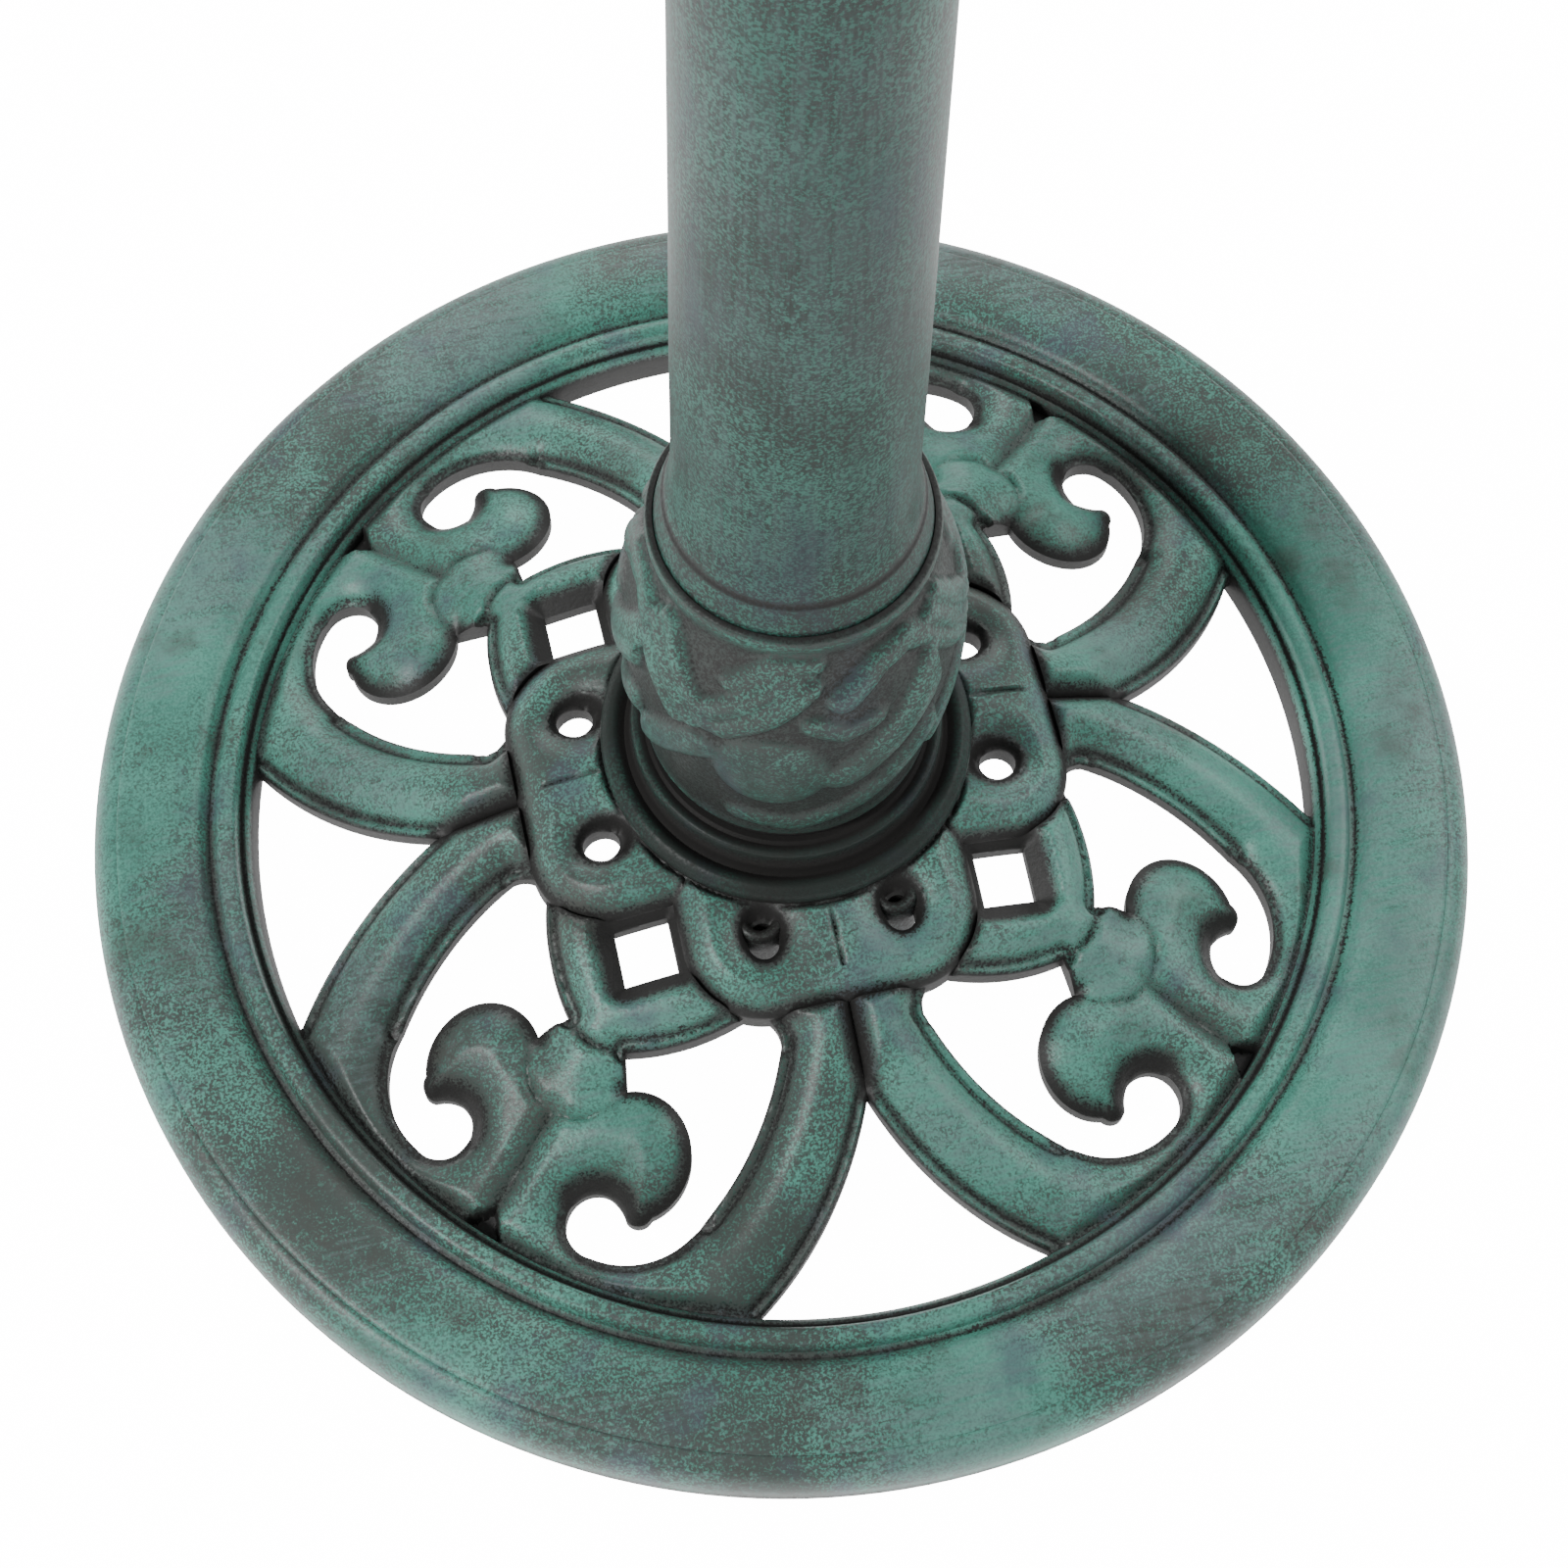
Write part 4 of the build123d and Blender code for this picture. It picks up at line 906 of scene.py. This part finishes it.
def leaf_strands():
    """Round ridges of the leaf work, each (path, half width, share of the height).

    The path is measured round the collar from the middle of a leaf and up from the collar's foot."""
    strands = [([(17.0, 56.0), (28.0, 66.0), (39.0, 79.0), (48.0, 92.0)], 8.0, 0.95),
               ([(16.0, 97.0), (27.0, 106.0), (38.0, 108.0), (47.0, 102.0)], 5.0, 0.85),
               ([(-46.0, 40.0), (-34.0, 56.0), (-24.0, 66.0)], 7.0, 0.75),
               ([(-12.0, 24.0), (4.0, 20.0), (20.0, 28.0)], 6.0, 0.7),
               ([(22.0, 30.0), (34.0, 42.0), (46.0, 56.0)], 6.5, 0.8),
               ([(-16.0, 102.0), (-4.0, 112.0), (8.0, 112.0)], 4.0, 0.6),
               ([(8.0, 88.0), (16.0, 82.0), (24.0, 84.0)], 4.5, 0.6)]
    for k in range(3):
        path = np.array([(-21.0, 82.0), (-29.0, 93.0), (-40.0, 110.0 - k)]) - [5.0 * k, 3.0 * k]
        strands.append((path, 3.9, 0.85 - 0.08 * k))
    for k in range(2):
        path = [(-17.0 - 3.0 * k, 82.0 + 7.0 * k), (-5.0 - 4.0 * k, 92.0 + 7.0 * k),
                (6.0 - 6.0 * k, 104.0 + 4.0 * k)]
        strands.append((path, 4.6, 0.85))
    return strands


def ridge(s, t, path, width):
    """Round ridge along a path, at points (s, t): 1 on the path and 0 a width away."""
    run = np.array(path, float)
    points = np.stack([s.ravel(), t.ravel()], -1)
    best = np.full(len(points), 1e9)
    for p, q in zip(run[:-1], run[1:]):
        along = np.clip(((points - p) @ (q - p)) / ((q - p) @ (q - p)), 0, 1)
        best = np.minimum(best, np.linalg.norm(points - p - along[:, None] * (q - p), axis=1))
    return np.sqrt(np.clip(1 - (best.reshape(s.shape) / width) ** 2, 0, 1))


def leaf_shape(a, r, z):
    """Relief of the collar: an oval petal under a V of leaf strands, with a long leaf and lobes beside it."""
    height = bpy.context.scene.fountain_relief.leaf_height / MM
    low, top = FLANGE_TOP, COLLAR_TOP
    outside = (r > 38.5) & (z < top - 3.0) & (z > low + 3.0)
    third = 2 * math.pi / 3
    turn = (a + math.radians(105.0) + math.pi) % (2 * math.pi) - math.pi
    s = ((turn + third / 2) % third - third / 2) * 45.0
    t = z - low
    petal = np.hypot((s + 3.5) / 16.5, (t - 60.0) / 22.0)
    bump = np.sqrt(np.clip(1 - petal ** 2, 0, 1))
    for path, width, tall in leaf_strands():
        bump = np.maximum(bump, tall * ridge(s, t, path, width))
    fade = np.clip((t - 6.0) / 8.0, 0, 1) * np.clip((top - low - 4.0 - t) / 6.0, 0, 1) * outside
    bump = bump * fade
    # Darker between the leaves: dark ground, partly painted shade
    return height * (bump - 0.3 * fade), (0.57 - bump) * fade


def make_collar():
    low, top = FLANGE_TOP, COLLAR_TOP
    # Dark at the foot on the flange and in the socket: painted shade, partly dark ground
    spots = [(41.4, low + 1.0, 4.0, 1.2), (37.4, top - 1.0, 2.0, 1.4)]
    collar = turned("leaf_collar_shell", collar_profile(), "leaf_verdigris", spots, leaf_shape, 60.0, 0.1)
    place(collar, "leaf_verdigris", "leaf_collar")


def tube_profile():
    """Section of the tube: beaded flare at the foot, then a straight taper, on a wider spigot."""
    seat = COLLAR_TOP - COLLAR_SOCKET
    neck = CAPITAL_LOW - 6.0
    return smooth_line([
        (36.0, seat), (36.9, seat + 1.2), ((37.4, seat + 5.0), (36.6, seat + 9.5)),
        ((35.6, seat + 13.6), (34.9, seat + 16.2)), (34.5, seat + 16.6), (34.3, seat + 17.6),
        ((32.6, seat + 27.0), (31.8, seat + 46.0)), (31.3, seat + 80.0), (30.2, seat + 130.0),
        (28.7, seat + 210.0), (TUBE, neck), (TUBE, TUBE_END), (TUBE_BORE, TUBE_END), (TUBE_BORE, neck),
        (28.8, seat + 46.0), (28.8, seat - 40.0), (33.0, seat - 40.0), (33.0, seat)], 1.2)


def make_tube():
    seat = COLLAR_TOP - COLLAR_SOCKET
    # Dark at the foot in the collar and under the bead: painted shade, partly dark ground
    spots = [(36.6, seat, 3.0, 1.3), (34.5, seat + 16.8, 1.4, 0.9)]
    tube = turned("column", tube_profile(), "tube_verdigris", spots)
    place(tube, "tube_verdigris", "column_tube")


# ---------------------------------------------------------------- head

def bell_curve(inset):
    """Start, handles and end of the bell's outline, from its neck up to the band."""
    height = CAPITAL_TOP - TUBE_END
    return [(BELL_NECK - inset, TUBE_END), (BELL_NECK + 3.0 - inset, TUBE_END + 0.28 * height),
            (CAPITAL - 4.0 - inset, TUBE_END + 0.26 * height), (CAPITAL - inset, CAPITAL_TOP - BELL_BAND)]


def capital_profile():
    """Section of the bell: collar round the tube, bell, beaded band at the top, then the inner wall."""
    low, end, top, r = CAPITAL_LOW, TUBE_END, CAPITAL_TOP, CAPITAL
    socket, shelf = TUBE + 0.2, end + 4.0
    outer, inner = bell_curve(0.8), bell_curve(BELL_WALL)
    return smooth_line([
        (socket, low), (BELL_NECK - 2.0, low), ((34.6, low + 2.6), (34.6, low + 6.0)),
        ((34.4, low + 9.6), (BELL_NECK, low + 12.0)), outer[0], outer[1:],
        ((r, top - 16.0), (r - 0.2, top - 13.0)), (r - 1.2, top - 11.5), (r - 1.2, top - 4.5),
        ((r - 0.2, top - 3.0), (r - 0.4, top)), (r - BELL_WALL, top),
        inner[3], (inner[2], inner[1], (inner[0][0], shelf)), (TUBE_BORE, shelf), (TUBE_BORE, end),
        (socket, end)], 1.6)


def outer_side(z):
    """True for the points of a turned piece before its highest one, which lie on its outside."""
    return np.arange(z.shape[1]) < np.argmax(z[0])


def capital_leaves(a, r, z):
    """Upright leaves round the bell, from its neck to just under the band."""
    leaves, low, top = 12, TUBE_END, CAPITAL_TOP - BELL_BAND - 3.0
    outside = outer_side(z) & (z > low - 4) & (z < top)
    t = np.clip((z - low) / (top - low), 0, 1)
    s = ((a * leaves / (2 * math.pi)) % 1 - 0.5) * 2
    width = 0.94 * np.sqrt(np.clip(1 - t ** 3.2, 0, 1))
    body = np.sqrt(np.clip(1 - (s / np.maximum(width, 0.05)) ** 2, 0, 1))
    vein = 0.35 * np.exp(-(s / 0.09) ** 2)
    bump = np.where(outside, np.clip(body - vein, 0, 1), 0.0) * np.clip((z - low + 4) / 10, 0, 1)
    # Darker between the leaves: dark ground, partly painted shade
    return 3.6 * (bump - 0.28 * outside), np.where(outside, (0.7 - bump) * 0.9, 0.0)


def bowl_profile():
    """Section of the bowl: deck and locating ring below, wall, rolled rim, then the inside and the drain."""
    rim, roll, deck, flat = BOWL - RIM_ROLL, BOWL_TOP - RIM_ROLL, CAPITAL_TOP, CAPITAL
    floor, under, ring_low = deck + BOWL_FLOOR, deck - 3.0, deck - 14.0
    ring_in, ring_out, round_part = 85.7, 92.7, 0.7 * RIM_ROLL
    return smooth_line([
        (DRAIN, under), (ring_in, under), (ring_in, ring_low), (ring_out, ring_low), (ring_out, deck),
        (flat, deck), ((flat + 55.0, deck + 8.0), (rim - 7.0, BOWL_TOP - 50.0), (rim - 1.0, roll - 9.5)),
        (rim, roll - RIM_ROLL), ((rim + round_part, roll - round_part), (BOWL, roll)),
        ((rim + round_part, roll + round_part), (rim, BOWL_TOP)),
        ((rim - 5.4, BOWL_TOP - 1.6), (rim - 8.0, roll)),
        ((rim - 13.0, BOWL_TOP - 48.0), (flat + 50.0, floor + 4.0), (flat, floor)),
        (DRAIN_RECESS, floor - 4.0), (DRAIN_RECESS, floor - 10.0), (DRAIN, floor - 10.0)], 2.0)


def bowl_ribs(a, r, z):
    """Shallow ribs round the outside of the bowl, darker between them: dark ground, partly painted shade."""
    low, top, ribs = CAPITAL_TOP + 1.5, BOWL_TOP - 24.0, 32
    outside = outer_side(z) & (r > CAPITAL + 4)
    fade = np.clip((z - low) / 5, 0, 1) * np.clip((top - z) / 10, 0, 1) * outside
    rib = np.abs(np.sin(a * ribs / 2))
    return 2.0 * np.sqrt(rib) * fade, (0.75 - rib) * 0.7 * fade


def make_capital():
    low, top = CAPITAL_LOW, CAPITAL_TOP
    # Dark at the neck, in the socket and under the band: painted shade, partly dark ground
    spots = [(BELL_NECK, low + 12.5, 2.4, 1.0), (27.0, low, 4.0, 1.2), (CAPITAL - 1.2, top - 20.0, 2.6, 1.1),
             (CAPITAL - 1.2, top - 11.5, 1.6, 0.8)]
    capital = turned("capital_bell", capital_profile(), "leaf_verdigris", spots, capital_leaves, 60.0)
    place(capital, "leaf_verdigris", "capital")


def make_bowl():
    deck = CAPITAL_TOP
    # Dark at the deck, under the rolled rim and in the drain seat: painted shade, partly dark ground
    spots = [(CAPITAL, deck, 3.0, 1.2), (BOWL - RIM_ROLL, BOWL_TOP - 16.4, 2.4, 1.1),
             (DRAIN_RECESS, deck + 10.0, 4.0, 0.9)]
    bowl = turned("bowl_shell", bowl_profile(), "moulded_verdigris", spots, bowl_ribs, 60.0)
    place(bowl, "moulded_verdigris", "bowl")


def make_bubbler_boss():
    """Round boss on the bowl's floor, under the gasket of the bubbler."""
    near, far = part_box("deck_gasket")
    low, top, foot, bore = CAPITAL_TOP + 5.0, near.z / MM, 37.0, 10.0
    profile = smooth_line([(bore, low), (foot, low), ((27.4, low + 11.0), (25.6, low + 22.0)),
                           (25.0, top - 4.0), ((24.8, top - 1.0), (23.4, top)), (bore, top)], 1.2)
    # Dark at the foot on the bowl floor: painted shade, partly dark ground
    boss = turned("bubbler_boss", profile, "moulded_verdigris", [(foot, low, 6.0, 1.0)], None, 40.0)
    boss.data.transform(Matrix.Translation((0, (near.y + far.y) / 2, 0)))
    place(boss, "moulded_verdigris", "bowl")


# ---------------------------------------------------------------- fittings

def dress_fittings():
    """Gives every node that stays as built its own finish."""
    done = {o.name for o in frame["nodes"].values() if o.hide_render}
    for row in frame["record"]["subparts"]:
        node = frame["nodes"][row["node"]]
        if node.name in done:
            continue
        node.data.materials.clear()
        node.data.materials.append(FINISHES[row["material_slot"]])


# ---------------------------------------------------------------- stage

LENS, SENSOR = 61.116, 36.0   # millimetres
ELEVATION = math.radians(66.0908)
ROLL = math.radians(2.0455)
TURN = math.radians(-14.865)
EYE_POINT = (-0.09017, -0.33971, 0.81047)


def make_camera():
    right = Vector((1.0, 0.0, 0.0))
    up = Vector((0.0, math.sin(ELEVATION), math.cos(ELEVATION)))
    back = Vector((0.0, -math.cos(ELEVATION), math.sin(ELEVATION)))
    tipped = right * math.cos(ROLL) + up * math.sin(ROLL)
    upright = up * math.cos(ROLL) - right * math.sin(ROLL)
    axes = Matrix((tipped, upright, back)).transposed().to_4x4()
    data = bpy.data.cameras.new("camera")
    data.lens = LENS
    data.sensor_width = SENSOR
    data.clip_start = 0.01
    camera = bpy.data.objects.new("camera", data)
    camera.matrix_world = Matrix.Translation(EYE_POINT) @ Matrix.Rotation(TURN, 4, "Z") @ axes
    bpy.context.collection.objects.link(camera)
    bpy.context.scene.camera = camera


def soft_light(name, place_at, size, power, aim=(0.0, 0.0, 0.1)):
    data = bpy.data.lights.new(name, "AREA")
    data.shape = "DISK"
    data.size = size
    data.energy = power
    light = bpy.data.objects.new(name, data)
    light.location = place_at
    light.rotation_euler = (Vector(aim) - Vector(place_at)).to_track_quat("-Z", "Y").to_euler()
    bpy.context.collection.objects.link(light)


def make_floor():
    """White floor that looks bright but throws only a little light."""
    stage = bpy.context.scene.fountain_stage
    g = Graph("floor")
    tone = g.noise(3.0, 2.0)
    body = g.blend(tone * 0.2, rgba(stage.floor), rgba(scaled(stage.floor, 0.97)))
    seen = Number(g, g.node("ShaderNodeLightPath", {}, {}).outputs["Is Camera Ray"])
    shown = g.blend(seen, rgba((stage.glow,) * 3), rgba((stage.paper,) * 3))
    g.finish(Base_Color=body, Roughness=0.8, Emission_Color=shown, Emission_Strength=1.0)
    reach, level = 6.0, -0.0003
    corners = [(x * reach, y * reach, level) for x, y in ((-1, -1), (1, -1), (1, 1), (-1, 1))]
    mesh = bpy.data.meshes.new("floor")
    mesh.from_pydata(corners, [], [(0, 1, 2, 3)])
    mesh.materials.append(g.material)
    floor = bpy.data.objects.new("floor", mesh)
    bpy.context.collection.objects.link(floor)


def make_lights():
    stage = bpy.context.scene.fountain_stage
    world = bpy.data.worlds.new("studio")
    bpy.context.scene.world = world
    world.use_nodes = True
    sky = world.node_tree.nodes["Background"].inputs
    sky["Color"].default_value = rgba((1.0, 1.0, 1.0))
    sky["Strength"].default_value = stage.sky
    side_power = stage.key * 0.6
    soft_light("key", (-1.3, -0.5, 1.3), 0.36, stage.key)
    soft_light("fill", (1.4, 0.2, 1.2), 1.2, side_power)
    soft_light("back", (0.2, 1.6, 1.0), 1.2, side_power)


# ---------------------------------------------------------------- operators

class FOUNTAIN_OT_rim(bpy.types.Operator):
    """Make the domed rim of the base."""

    bl_idname = "fountain.rim"
    bl_label = "Rim"

    def execute(self, context):
        make_base_ring()
        return {"FINISHED"}


class FOUNTAIN_OT_panels(bpy.types.Operator):
    """Make the four scroll panels."""

    bl_idname = "fountain.panels"
    bl_label = "Scroll panels"

    def execute(self, context):
        make_scroll_panels()
        return {"FINISHED"}


class FOUNTAIN_OT_knot(bpy.types.Operator):
    """Make the interlaced links of the hub and the posts under them."""

    bl_idname = "fountain.knot"
    bl_label = "Hub links"

    def execute(self, context):
        make_knot()
        make_anchor_posts()
        return {"FINISHED"}


class FOUNTAIN_OT_column(bpy.types.Operator):
    """Make the flange, the leaf collar and the column."""

    bl_idname = "fountain.column"
    bl_label = "Column"

    def execute(self, context):
        make_flange()
        make_collar()
        make_tube()
        return {"FINISHED"}


class FOUNTAIN_OT_head(bpy.types.Operator):
    """Make the capital and the bowl."""

    bl_idname = "fountain.head"
    bl_label = "Capital and bowl"

    def execute(self, context):
        make_capital()
        make_bowl()
        make_bubbler_boss()
        return {"FINISHED"}


class FOUNTAIN_OT_fittings(bpy.types.Operator):
    """Give the metal and rubber fittings their finishes."""

    bl_idname = "fountain.fittings"
    bl_label = "Fittings"

    def execute(self, context):
        dress_fittings()
        return {"FINISHED"}


class FOUNTAIN_OT_stage(bpy.types.Operator):
    """Make the floor, the lights and the camera."""

    bl_idname = "fountain.stage"
    bl_label = "Stage"

    def execute(self, context):
        make_floor()
        make_lights()
        make_camera()
        return {"FINISHED"}


class FOUNTAIN_PT_pieces(bpy.types.Panel):
    """The fountain's pieces and sizes."""

    bl_idname = "FOUNTAIN_PT_pieces"
    bl_label = "Drinking fountain"
    bl_space_type = "VIEW_3D"
    bl_region_type = "UI"
    bl_category = "Fountain"

    def draw(self, context):
        for operator in OPERATORS:
            self.layout.operator(operator.bl_idname)
        for group in (getattr(context.scene, name) for name in GROUPS):
            box = self.layout.box()
            for name in group.bl_rna.properties.keys():
                if name not in ("rna_type", "name"):
                    box.prop(group, name)


OPERATORS = (FOUNTAIN_OT_rim, FOUNTAIN_OT_panels, FOUNTAIN_OT_knot, FOUNTAIN_OT_column, FOUNTAIN_OT_head,
             FOUNTAIN_OT_fittings, FOUNTAIN_OT_stage)
GROUPS = {"fountain_relief": FountainRelief, "fountain_finish": FountainFinish,
          "fountain_stage": FountainStage}


def register():
    for cls in (*GROUPS.values(), *OPERATORS, FOUNTAIN_PT_pieces):
        bpy.utils.register_class(cls)
    for name, group in GROUPS.items():
        setattr(bpy.types.Scene, name, PointerProperty(type=group))


def unregister():
    for name in GROUPS:
        delattr(bpy.types.Scene, name)
    for cls in (FOUNTAIN_PT_pieces, *reversed(OPERATORS), *reversed(list(GROUPS.values()))):
        bpy.utils.unregister_class(cls)


def main():
    register()
    make_finishes()
    for operator in OPERATORS:
        group, name = operator.bl_idname.split(".")
        getattr(getattr(bpy.ops, group), name)()


if __name__ == "__main__":
    main()
